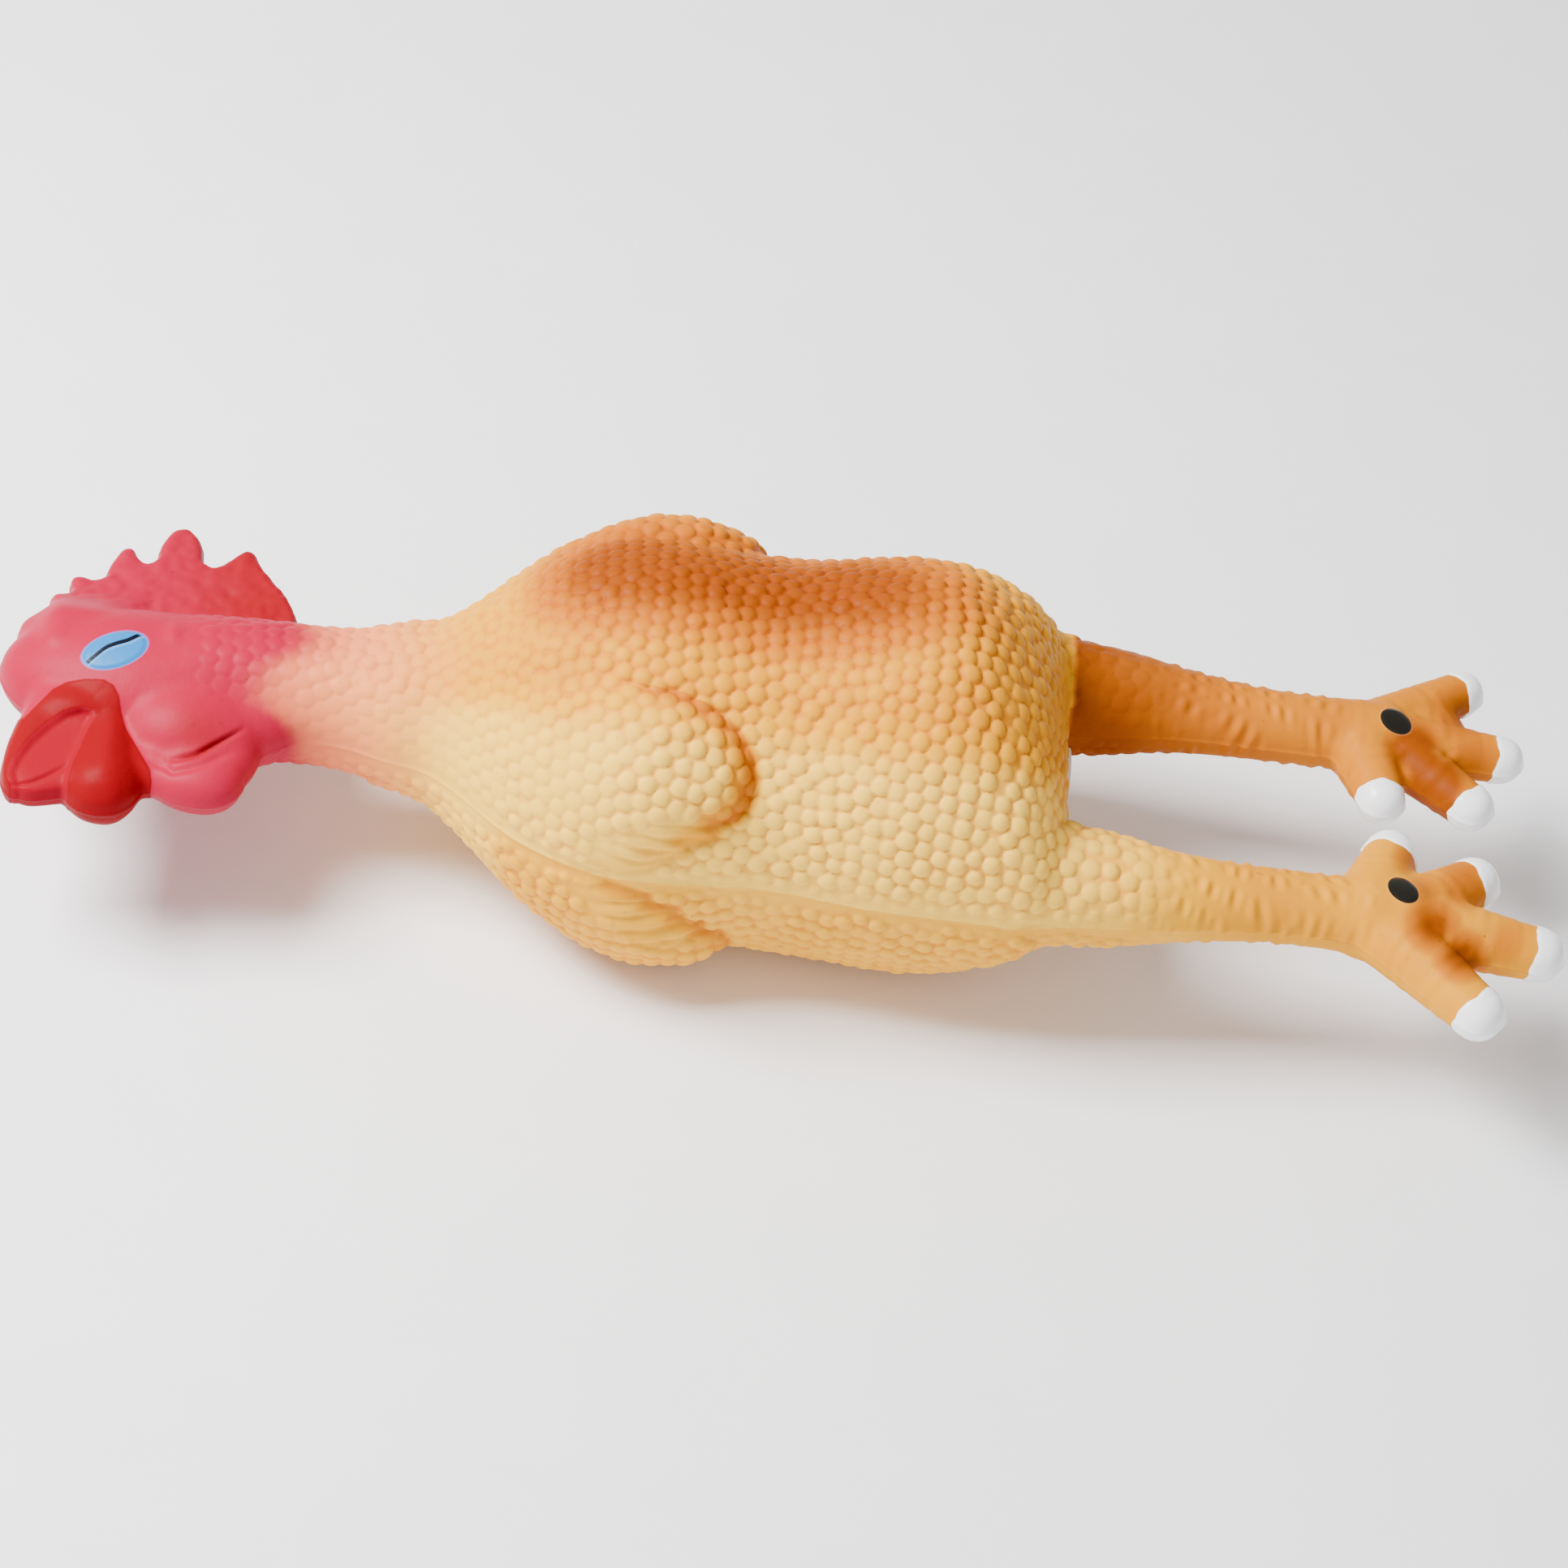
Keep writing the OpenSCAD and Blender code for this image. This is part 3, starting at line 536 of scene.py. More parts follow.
# The photograph's camera: how far away it stands, how far below the seam it aims, pixels to a millimetre
# there, and the picture's middle in pixels
PICTURE_AWAY, PICTURE_LOW, PICTURE_SCALE, PICTURE_MIDDLE = 1300.0, 8.74, 4.35, 966.0
# The camera's turn round the part, its height and its tilt, in degrees
PICTURE_TURN, PICTURE_HEIGHT, PICTURE_TILT = -4, 45, -9.89


def picture_axes():
    """The photograph's view: right, up and towards the camera, with the picture's own tilt."""
    az, el, tilt = (math.radians(v) for v in (PICTURE_TURN, PICTURE_HEIGHT, PICTURE_TILT))
    back = Vector((math.sin(az) * math.cos(el), -math.cos(az) * math.cos(el), math.sin(el)))
    right = Vector((math.cos(az), math.sin(az), 0))
    up = back.cross(right)
    return right * math.cos(tilt) - up * math.sin(tilt), right * math.sin(tilt) + up * math.cos(tilt), back


def set_camera():
    """The camera of the photograph."""
    across, up, back = picture_axes()
    aim = Vector((0, 0, SEAM_Z)) - up * PICTURE_LOW
    place = (aim + back * PICTURE_AWAY) * MM
    data = bpy.data.cameras.new("camera")
    data.lens = data.sensor_width * PICTURE_AWAY * PICTURE_SCALE / (2 * PICTURE_MIDDLE)
    camera = add_object("camera", data)
    camera.matrix_world = Matrix((across, up, back)).transposed().to_4x4()
    camera.location = place
    bpy.context.scene.camera = camera


# Planes that divide the skin, each where both sides move together
HEAD_CUT, NECK_CUT, TORSO_CUT, RUMP_CUT, LEG_CUT = -152.5, -131.0, -104.0, 72.0, 124.0


def cut_casting(mesh):
    """Cuts the skin along the planes where it is divided, so that pieces meet on shared edges."""
    bm = bmesh.new()
    bm.from_mesh(mesh)
    planes = [((x, 0, 0), (1, 0, 0)) for x in (HEAD_CUT, NECK_CUT, TORSO_CUT, RUMP_CUT, LEG_CUT)]
    seam = ((0, 0, 0), (0, 0, 1))
    for point, normal in planes + [seam]:
        geom = bm.verts[:] + bm.edges[:] + bm.faces[:]
        bmesh.ops.bisect_plane(bm, geom=geom, dist=0.05, plane_co=point, plane_no=normal)
    bm.to_mesh(mesh)
    bm.free()
    return mesh


def soften(mesh, co, rounds):
    """Moves each point towards the middle of its neighbours, as many times as rounds gives for it."""
    i, j = column(mesh.edges, "vertices", 2, np.int64).T
    count = np.bincount(np.concatenate([i, j]), minlength=len(co))[:, None]
    for k in range(int(rounds.max())):
        total = np.zeros_like(co)
        for axis in range(3):
            total[:, axis] = np.bincount(i, co[j, axis], len(co)) + np.bincount(j, co[i, axis], len(co))
        share = np.clip(rounds - k, 0, 1)[:, None] * 0.5
        co = co + share * (total / count - co)
    return co


# Spacing and height of the pebbles, the ends of their field, and where those behind the hips start
PEBBLE_PITCH, PEBBLE_RISE = 5.3, 1.27
PEBBLE_START_X, PEBBLE_END_X, REAR_X = -172.0, 122.0, 58.0
# Where the pebbles fade into the smooth face, in the picture's pixels
FACE_EDGE_PX, FACE_FADE_PX = 222, 40


def search_tree(points):
    """A tree that finds the points near a place."""
    tree = KDTree(len(points))
    for k, point in enumerate(points):
        tree.insert(point, k)
    tree.balance()
    return tree


def trunk_angle(points):
    """Angle round the body, as trunk_point counts it, of points near the trunk."""
    x = points[:, 0]
    y, z = points[:, 1] - trunk("y", x), points[:, 2]
    up = z > 0
    power = np.where(up, trunk("upper", x), trunk("lower", x))
    h = np.where(up, trunk("top", x), trunk("bottom", x))
    rise = np.sign(z) * (np.abs(z) / h) ** (power / 2)
    return np.arctan2(rise, np.sign(y) * (np.abs(y) / trunk("w", x)) ** (power / 2))


def spread(centres, project, pitch, rounds):
    """Pushes pebbles apart to an even spacing, and back onto the skin each time."""
    reach = pitch * 1.25
    for _ in range(rounds):
        tree = search_tree(centres)
        found = [tree.find_range(c, reach) for c in centres]
        pairs = np.array([(k, m) for k, close in enumerate(found) for _, m, _ in close if m != k])
        apart = centres[pairs[:, 0]] - centres[pairs[:, 1]]
        d = np.maximum(np.linalg.norm(apart, axis=1), 1e-3)[:, None]
        push = apart / d * (reach - d)
        total = np.stack([np.bincount(pairs[:, 0], push[:, axis], len(centres)) for axis in range(3)], -1)
        centres = project(centres + 0.2 * total)
    return centres


def trunk_pebbles():
    """Middles of the pebbles on the trunk, in rows that are then spread evenly."""
    step, row_share, jitter = 0.25, 0.87, 1.3
    xs = np.arange(PEBBLE_START_X, RUMP_X, step)
    slope = np.gradient(trunk("w", xs), xs)
    walk = np.concatenate([[0], np.cumsum(np.hypot(step, step * slope[1:]))])
    rows = np.interp(np.arange(0, walk[-1], PEBBLE_PITCH * row_share), walk, xs)
    found = []
    for k, x in enumerate(rows):
        ring = trunk_point(np.full(200, x), np.linspace(0, 2 * math.pi, 201)[:-1])
        girth = np.linalg.norm(ring - np.roll(ring, 1, axis=0), axis=1).sum()
        n = round(girth / PEBBLE_PITCH)
        a = 2 * math.pi * (np.arange(n) + 0.5 * (k % 2)) / n
        found.append(trunk_point(np.full(n, x), a))
    found = np.concatenate(found)
    found += rng.normal(0, jitter, found.shape)

    def project(points):
        points[:, 0] = np.clip(points[:, 0], PEBBLE_START_X, RUMP_X - 1)
        return trunk_point(points[:, 0], trunk_angle(points))

    found = spread(found, project, PEBBLE_PITCH, rounds=24)
    return trunk_skin(found[:, 0], trunk_angle(found))


def rear_pebbles(front, co):
    """Middles of the pebbles behind the hips and on the thighs, spread over the skin beside the rest."""
    overlap, thigh_end = 8, 119
    places = co[(co[:, 0] > REAR_X - overlap) & (co[:, 0] < thigh_end)]
    tree = search_tree(places)
    near = front[front[:, 0] > REAR_X - overlap]
    cells = {}
    found = list(near)
    room = 0.8 * PEBBLE_PITCH

    def cell(c):
        return tuple(np.floor(c / room).astype(int))

    for c in near:
        cells.setdefault(cell(c), []).append(c)
    for c in places[rng.permutation(len(places))]:
        if c[0] < REAR_X:
            continue
        i, j, k = cell(c)
        around = itertools.product((i - 1, i, i + 1), (j - 1, j, j + 1), (k - 1, k, k + 1))
        close = [o for place in around for o in cells.get(place, ())]
        if all(np.dot(c - o, c - o) > room**2 for o in close):
            found.append(c)
            cells.setdefault((i, j, k), []).append(c)

    def project(points):
        points = np.array([tree.find(p)[0] for p in points])
        points[:len(near)] = near
        return points

    return spread(np.array(found), project, PEBBLE_PITCH * 0.94, rounds=8)[len(near):]


def pebble_height(points, centres, radius, rise):
    """Height at points of the pebbles, low domes that meet in valleys, and how far below their tops it is."""
    tree = search_tree(centres)
    found = [tree.find_n(p, 3) for p in points]
    which = np.array([[m for _, m, _ in f] for f in found])
    away = np.array([[d for _, _, d in f] for f in found])
    dome = rise[which] * np.clip(1 - (away / radius[which]) ** 2, 0, 1) ** 0.55
    height = (dome**6).sum(1) ** (1 / 6)
    return height, np.clip(rise[which].mean(1) - height, 0, None)


def pebble_field(co):
    """Pebbles, and the depth of the valleys between them that sets their painted shade, over all but the
    seam, the feathers, the face and the feet.
    """
    body = trunk_pebbles()
    body = body[body[:, 0] < REAR_X]
    centres = np.concatenate([body, rear_pebbles(body, co)])
    x, y, z = centres.T
    phi = np.arctan2(z, np.abs(y))
    d, _ = wing_field(x, phi)
    s = WING_R * np.abs(phi)
    seam = np.abs(z)
    size = rng.uniform(0.87, 1.07, len(centres)) * mix(0.66, 1, ramp(seam, 2.5, 6))
    amount = rng.uniform(0.6, 1.14, len(centres)) * ramp(seam, 1.6, 3)
    feathers = (d > -1) * feathered(x, s - 1.5)
    face = ramp(seen(centres)[:, 0], FACE_EDGE_PX, FACE_FADE_PX) * mix(0.42, 1, ramp(x, -160, 45))
    wing_root = 0.45 * bell(x + 62, 16) * bell(phi - math.radians(28), 0.35)
    breast = 0.72 * ramp(x, -66, -34) * np.where(y < 0, bell(phi - math.radians(20), 0.62), 0)
    thigh = np.where(x > RUMP_X, 1 - ramp(x, 92, 24), 1)
    far_thigh = np.where((x > RUMP_X + 2) & (y > 0) & (z > 0), 0.35, 1)
    for share in (1 - feathers, face, 1 - wing_root, 1 - breast, thigh, far_thigh):
        amount *= share
    radius = 0.53 * PEBBLE_PITCH * size
    wanted = (co[:, 0] > PEBBLE_START_X - 6) & (co[:, 0] < PEBBLE_END_X)
    height, valley_shade = np.zeros(len(co)), np.zeros(len(co))
    height[wanted], valley_shade[wanted] = pebble_height(co[wanted], centres, radius, PEBBLE_RISE * amount * size)
    return height, valley_shade


def seen(co):
    """Where points stand in the picture, in pixels. One below the seam counts as its mirror image above."""
    across, up, back = (np.array(v) for v in picture_axes())
    place = co * (1, 1, 0) + np.abs(co[:, 2:]) * (0, 0, 1) + up * PICTURE_LOW - back * PICTURE_AWAY
    away = -place @ back
    zoom = PICTURE_AWAY * PICTURE_SCALE / away
    return np.stack([PICTURE_MIDDLE + place @ across * zoom, PICTURE_MIDDLE - place @ up * zoom], -1)


def outline_distance(points, outline):
    """Signed distance to a closed outline, negative inside."""
    outline = np.array(outline, float)
    d, _ = edge_distance(points, np.concatenate([outline, outline[:1]]))
    return np.where(inside(points, outline), -d, d)


# Features of the face and the feet as they stand in the picture, in pixels
RED_PAINT = [
    (30, 884), (46, 868), (65, 849), (83, 840), (106, 836), (128, 837), (140, 844), (147, 857), (150, 880),
    (155, 898), (166, 916), (176, 932), (185, 948), (187, 963), (185, 979), (184, 1060), (40, 1060),
    (-40, 1000), (-40, 900),
]
BEAK_SIDE = [
    (10, 948), (19, 930), (37, 908), (59, 889), (80, 876), (102, 870), (114, 874), (117, 882), (111, 894),
    (104, 908), (97, 925), (89, 941), (84, 962), (83, 980), (83, 1040), (16, 1040), (13, 968),
]
MOUTH = [(12, 968), (40, 961), (58, 953), (75, 944), (88, 935)]
CHEEK_CREASE = [(206, 937), (225, 934), (241, 931), (257, 922), (271, 914), (294, 901)]
JOWL_CREASE = [(174, 931), (187, 939), (204, 945), (212, 951), (230, 948), (254, 943), (279, 932)]
WATTLE_NECK = [(120, 852), (136, 872), (137, 895), (132, 925), (128, 960)]
# Each crease or ridge of the face with its width, and how far it sinks or rises in millimetres
FACE_CREASES = [(MOUTH, 2.6, -0.9), (CHEEK_CREASE, 3.2, -1.5), (JOWL_CREASE, 5, -0.9), (WATTLE_NECK, 13, 0.8)]
BROW_LUMP, BROW_LUMP_R = (214, 780), 11
# The left eye's middle, half sizes and tilt in degrees, and the line of its shut lid
EYE_MIDDLE, EYE_LONG, EYE_HIGH, EYE_TILT = (141.4, 801.3), 41.5, 21.2, 16.3
EYE_SLIT = [(-60, -14), (-38, -6.2), (-25, -0.6), (-9, 5.4), (5, 6.6), (19, 6.4), (35, 8.9), (60, 14)]
# Painted shade behind the cheek and in its crease, and where across the picture the comb turns redder
CHEEK_SHADE, CHEEK_SHADE_R, CREASE_SHADE_WIDE = (245, 900), 32, 6
COMB_RED_FROM, COMB_RED_OVER = 150, 190
# Half sizes and tilt in degrees of a foot's oval, and its mean half size in millimetres
OVAL_LONG, OVAL_HIGH, OVAL_TILT, OVAL_R = 21, 13.5, -33, 3.4
# Airbrushed spots on the feet: place, width and strength
AIRBRUSHED_TOES = [
    (1765, 1140, 50, 1.02), (1800, 1178, 48, 1.05), (1755, 1100, 52, 0.75), (1805, 1085, 60, 0.85),
    (1855, 1160, 60, 0.68), (1735, 1055, 42, 0.75), (1742, 920, 55, 1.15), (1768, 965, 60, 1.2),
    (1800, 880, 75, 0.92), (1815, 935, 65, 0.88), (1785, 1010, 60, 1.15), (1860, 935, 60, 0.8),
    (1754, 940, 40, 1.15),
]

# Where along the body the head's creases end and the spots on the feet start
NAPE_X, TOE_SPRAY_X = -145, 140
# A distance in millimetres that counts as nowhere near
FAR = 30
# How much pink is left along the neck: place along the body and amount
PINK_FADE = [
    (-160, 1), (-154, 0.88), (-148, 0.69), (-141, 0.55), (-131, 0.46), (-120, 0.36), (-108, 0.24),
    (-94, 0.04), (-82, -0.1),
]


def turned(points, middle, degrees):
    """Places along and across an axis tilted up to the right by degrees, from its middle."""
    dx, dy = (points - middle).T
    c, t = math.cos(math.radians(degrees)), math.sin(math.radians(degrees))
    return dx * c - dy * t, -dy * c - dx * t


def path_groove(points, path, wide):
    """1 on a path and fading to 0 beside it and towards its ends."""
    path = np.array(path, float)
    d, place = edge_distance(points, path)
    length = np.linalg.norm(np.diff(path, axis=0), axis=1).sum()
    return bell(d, wide) * np.sin(np.pi * np.clip(place / length, 0.02, 0.98)) ** 0.5


def along_toe(co, foot, toe):
    """How far points lie behind a toe's tip and off its line, their angle round it, and the toe's length."""
    root, tip = foot.root(toe), foot.tip(toe)
    length = np.linalg.norm(tip - root)
    way = (tip - root) / length
    back = (tip - co) @ way
    off = np.linalg.norm(tip - co - np.outer(back, way), axis=1)
    around = np.arctan2((co - tip)[:, 2], (co - tip) @ np.cross((0, 0, 1), way))
    return back, off, around, length


def nail_distance(co, foot):
    """Distance behind the wavy edge of the nearest painted nail, negative on the paint."""
    nearest = np.full(len(co), 1e9)
    for k, toe in enumerate(foot.toes):
        back, off, around, _ = along_toe(co, foot, toe)
        wave = 0.6 * np.sin(2 * around + k) + 0.3 * np.sin(5 * around + 2 * k)
        wave = wave + 0.1 * np.sin(11 * around + 3 * k)
        edge = back - foot.nail_l - wave
        here = (off < foot.nail_r + 2.5) & (back > -3)
        nearest = np.where(here, np.minimum(nearest, edge), nearest)
    return np.minimum(nearest, FAR)


def oval_distance(co, points, foot):
    """Distance outside the dark oval on top of a foot, negative on it."""
    along, across = turned(points, foot.oval, OVAL_TILT)
    d = (np.hypot(along / OVAL_LONG, across / OVAL_HIGH) - 1) * OVAL_R
    return np.where(co[:, 2] > 2, np.minimum(d, FAR), FAR)


class Look:
    """What the skin's materials read at every point: paint edges in millimetres, and amounts from 0 to 1."""

    def __init__(self, co):
        self.co = co
        self.points = seen(co)
        head = co[:, 0] < HEAD_CUT
        self.red = np.where(head, outline_distance(self.points, RED_PAINT) / PICTURE_SCALE, FAR)
        self.beak_side = np.where(head, outline_distance(self.points, BEAK_SIDE) / PICTURE_SCALE, FAR)
        along, across = turned(self.points, EYE_MIDDLE, EYE_TILT)
        eye = (np.hypot(along / EYE_LONG, across / EYE_HIGH) - 1) * EYE_HIGH / PICTURE_SCALE
        self.eye = np.where(head, np.minimum(eye, FAR), FAR)
        self.slit = np.where(self.eye < 5, (across - curve(EYE_SLIT, along)) / PICTURE_SCALE, FAR)
        near, foot = co[:, 1] < 0, co[:, 0] > FOOT_X
        nail = [nail_distance(co, side) for side in (LEFT, RIGHT)]
        oval = [oval_distance(co, self.points, side) for side in (LEFT, RIGHT)]
        self.nail = np.where(foot, np.where(near, *nail), FAR)
        self.oval = np.where(foot, np.where(near, *oval), FAR)

    def face_relief(self):
        """Relief of the eye, the beak's side, the creases of the face and the full throat."""
        h = 0.5 * ease(-self.eye / 0.8) - 0.18 * bell(self.slit, 0.45) * ease(-self.eye / 0.6)
        h -= 1.1 * ease(-self.beak_side / 2) * (self.red < 0)
        x, y, z = self.co.T
        head = x < NAPE_X
        for path, wide, rise in FACE_CREASES:
            h += head * rise * path_groove(self.points, path, wide)
        h += head * 0.8 * bell(np.hypot(*(self.points - BROW_LUMP).T), BROW_LUMP_R)
        throat = 2.6 * bell(x + 147, 12) * bell(np.arctan2(np.abs(z), -y), 0.7)
        return h + throat + 0.25 * ease(-self.red / 0.6) * (self.beak_side > 0)

    def foot_relief(self):
        """Paint that stands a little proud on nails and ovals, and wrinkles across the shanks and toes."""
        x, y, z = self.co.T
        h = 0.4 * ease(-self.nail / 0.7) + 0.3 * ease(-self.oval / 0.7)
        a = np.arctan2(z, np.abs(y) - leg_middle(x))
        wave = np.sin(2 * math.pi * x / 6.1 + 2.2 * np.sin(a + x / 13) + 1.3 * np.sin(3 * a - x / 9))
        wave = wave + 0.7 * np.sin(2 * math.pi * x / 3.9 + 1.7 * np.sin(2 * a - x / 7))
        rough = 0.5 + 0.5 * np.sin(x / 6.7 + 1.5 * np.sin(2 * a + x / 19) + y)
        shank = ramp(x, 100, 14) * ramp(x, 170, -12)
        h = h + 0.3 * shank * rough * wave
        for foot in (LEFT, RIGHT):
            on_side = y * foot.side > 0
            for k, toe in enumerate(foot.toes):
                back, off, around, length = along_toe(self.co, foot, toe)
                here = on_side * (off < foot.toe_r + 2) * ramp(back - foot.nail_l, 2, 3)
                here = here * ramp(back, length * 0.85, -6)
                folds = np.sin(2 * math.pi * back / 5.2 + k + 1.2 * np.sin(2 * around + back / 5))
                h = h + 0.14 * here * folds * (0.5 + 0.5 * np.sin(around + 0.5 * back + k))
        return h

    def spray(self, phi):
        """Orange airbrush: its strongest sweep at each point."""
        return np.maximum.reduce([self.back_spray(phi), self.wing_spray(phi), self.leg_spray()])

    def back_spray(self, phi):
        """Sweeps along the back and over the shoulders, and a faint one over the belly side."""
        x, y, z = self.co.T
        up = z > 0
        long = ramp(x, -108, 55) * mix(1, 0.5, ramp(x, 14, 50))
        back = up * 1.06 * long * np.where(y > 8, bell(y - 8, 46), bell(y - 8, 33))
        shoulders = up * 0.52 * ramp(x, -140, 70) * ramp(phi, 0.58, 0.5)
        lower = ~up * mix(0.33, 0.27, ramp(x, -60, 50)) * ramp(x, -90, 20)
        return np.maximum.reduce([back, shoulders, lower])

    def wing_spray(self, phi):
        """Sweeps round the wings' edges, which fade towards the seam on the upper side."""
        x, _, z = self.co.T
        up = z > 0
        d, place = wing_field(x, phi)
        on_wing = (x > WING_START_X) & (x < 4)
        crease = np.where(d > 0, bell(d, np.where(up, 6.2, 4.5)), bell(d, 2.5))
        crease = crease * mix(0.35, 1, ramp(place, 8, 24))
        crease = crease * np.where(up, mix(0.3, 1, ramp(WING_R * np.abs(phi), 9, 16)), 1)
        return on_wing * crease * np.where(up, 0.74, 0.6)

    def leg_spray(self):
        """Sweeps over the legs, the far one darker, and spots between the toes."""
        x, y, z = self.co.T
        near = ramp(x - RUMP_X, -4, 20) * mix(0.18, 0.53, ramp(x, 90, 45)) * mix(0.8, 1, z > 0)
        far = ramp(x - RUMP_X, -1, 4) * mix(0.98, 0.66, ramp(x, 88, 62))
        amount = np.where(y < 0, near, far)
        for *place, wide, strong in AIRBRUSHED_TOES:
            spot = strong * bell(np.hypot(*(self.points - place).T), wide)
            amount = np.where(x > TOE_SPRAY_X, np.maximum(amount, spot), amount)
        return amount

    def pink(self):
        """How far the pink of the head has been sprayed over the cream."""
        x, y, z = self.co.T
        waver = 3 * np.sin(y / 7) + 2 * np.sin(z / 5 + 1)
        under = 13 * ease((8 - z - 0.5 * y) / 16) * ramp(x, -92, -30)
        over = 15 * ramp(y + z, 6, 16) * ramp(x, -85, -55)
        throat = 16 * ramp(y, -17, -7) * ramp(x, -108, -36)
        nape = 20 * ramp(y, 19, 5) * ramp(x, -130, -8)
        return np.interp(x + waver - (under + over + throat + nape), *zip(*PINK_FADE))

    def ruddy_and_shade(self):
        """Redder pink on the comb's nape end, and painted shade behind the cheek and in its crease."""
        x, y, z = self.co.T
        comb = (x < -135) * ramp(np.abs(z), 7, -2) * ramp(y - trunk("y", x) - trunk("w", x), 0.5, 4)
        # Painted shade behind the cheek's bulge and along its crease
        behind = 0.6 * bell(np.hypot(*(self.points - CHEEK_SHADE).T), CHEEK_SHADE_R)
        behind = behind + 0.5 * (x < NAPE_X) * path_groove(self.points, CHEEK_CREASE, CREASE_SHADE_WIDE)
        redder = 0.1 + 0.85 * ramp(self.points[:, 0], COMB_RED_FROM, COMB_RED_OVER)
        return comb * redder + behind * (1 - comb)


class Value:
    """A value in a material's node tree. Maths on values makes maths nodes, and node() makes any other."""

    def __init__(self, tree, socket=None):
        self.tree, self.socket = tree, socket

    def node(self, kind, settings=None, sockets=None, out=0):
        """A node of any kind with its settings, and the values or links of its sockets."""
        made = self.tree.nodes.new(kind)
        for name, setting in (settings or {}).items():
            setattr(made, name, setting)
        for name, value in (sockets or {}).items():
            if isinstance(value, Value):
                self.tree.links.new(value.socket, made.inputs[name])
            else:
                made.inputs[name].default_value = value
        return Value(self.tree, made.outputs[out])

    def maths(self, operation, *values):
        """One maths node."""
        return self.node("ShaderNodeMath", {"operation": operation}, dict(enumerate(values)))

    def __add__(self, other):
        return self.maths("ADD", self, other)

    def __radd__(self, other):
        return self.maths("ADD", other, self)

    def __sub__(self, other):
        return self.maths("SUBTRACT", self, other)

    def __rsub__(self, other):
        return self.maths("SUBTRACT", other, self)

    def __mul__(self, other):
        return self.maths("MULTIPLY", self, other)

    def __rmul__(self, other):
        return self.maths("MULTIPLY", other, self)

    def __abs__(self):
        return self.maths("ABSOLUTE", self)

    def attribute(self, name):
        """A value that the mesh holds at its points."""
        return self.node("ShaderNodeAttribute", {"attribute_name": name}, out="Fac")

    def clouds(self, scale, detail):
        """Noise over this place."""
        return self.node("ShaderNodeTexNoise", {}, {"Vector": self, "Scale": scale, "Detail": detail})

    def between(self, low, high):
        """0 at low, 1 at high and smooth between them; low may be the larger."""
        turn = low > high
        made = self.node("ShaderNodeMapRange", {"interpolation_type": "SMOOTHSTEP"},
                         {"Value": self, "From Min": min(low, high), "From Max": max(low, high)})
        return 1 - made if turn else made

    def tint(self, under, over, kind="MIX"):
        """Colour over laid on colour under by this amount."""
        amount, first, second, result = 0, 6, 7, 2
        sockets = {amount: self, first: under, second: over}
        return self.node("ShaderNodeMix", {"data_type": "RGBA", "blend_type": kind}, sockets, out=result)


def paint(r, g, b):
    """A colour given in screen values from 0 to 255."""
    return (*[((c / 255 + 0.055) / 1.055) ** 2.4 if c > 10 else c / 255 / 12.92 for c in (r, g, b)], 1)


CREAM, APRICOT, ORANGE, RUST = paint(248, 196, 70), paint(228, 156, 2), paint(190, 104, 0), paint(138, 62, 0)
# The second of these is the comb's redder pink and also painted shade behind the cheek and in its crease
PINK, RUDDY_AND_SHADE, RED, CORAL = paint(162, 3, 48), paint(138, 3, 18), paint(128, 0, 13), paint(142, 1, 27)
PEACH = paint(228, 122, 76)
BLUE, RIM, NAVY, GLINT = paint(20, 112, 176), paint(128, 96, 170), paint(2, 3, 20), paint(190, 222, 240)
WHITE, BLACK, HALO = paint(250, 251, 253), paint(22, 20, 14), paint(226, 180, 120)
# The first of these is painted shade, laid in the valleys between the pebbles
VALLEY_SHADE, MOTTLE, FLECK = paint(238, 200, 150), paint(236, 222, 214), paint(96, 52, 12)
PLASTIC, CLOUDED, AMBER = paint(238, 236, 226), paint(225, 214, 190), paint(206, 160, 92)
FLOOR, FLOOR_DIM = paint(250, 250, 250), paint(247, 247, 247)


# How much light the surface of each finish reflects
PAINT_SHINE = 0.15
SHINE = {"latex_cream": 0.07, "latex_orange": 0.06, "latex_pink": 0.1, "paint_red": 0.04}


def bare_material(name):
    """A new material, a value to start its node tree from, and its shader."""
    material = bpy.data.materials.new(name)
    material.use_nodes = True
    tree = material.node_tree
    shader = tree.nodes["Principled BSDF"]
    return material, Value(tree), shader


def feed(shader, values):
    """Links values to a shader's sockets."""
    for socket, value in values.items():
        value.tree.links.new(value.socket, shader.inputs[socket])


def latex_colour(start, place, cloud, speck):
    """Cream latex with orange, pink and red airbrushed over it, painted shade in the pebbles' valleys and by
    the cheek, a faint mottle and a few dark flecks.
    """
    spray = start.attribute("spray") + (cloud - 0.5) * 0.16
    colour = spray.between(0.02, 0.42).tint(CREAM, APRICOT)
    colour = spray.between(0.36, 0.78).tint(colour, ORANGE)
    colour = spray.between(0.72, 1.05).tint(colour, RUST)
    # Painted shade, darkest deep in the valleys between the pebbles
    valley_shade = start.attribute("valley_shade").between(0.2, 1.2) * 0.55
    colour = valley_shade.tint(colour, VALLEY_SHADE, "MULTIPLY")
    pink = start.attribute("pink") + (cloud - 0.5) * 0.14
    colour = pink.between(-0.1, 0.6).tint(colour, PEACH)
    colour = pink.between(0.44, 1.0).tint(colour, PINK)
    # Redder pink on the comb, and painted shade behind the cheek and in its crease
    colour = (start.attribute("ruddy_and_shade") * (0.7 + 0.6 * cloud)).tint(colour, RUDDY_AND_SHADE)
    colour = speck.between(0.62, 0.8).tint(colour, MOTTLE, "MULTIPLY")
    fleck = start.node("ShaderNodeTexVoronoi", {}, {"Vector": place, "Scale": 75.0}).between(0.026, 0.016)
    return (fleck * 0.7).tint(colour, FLECK)


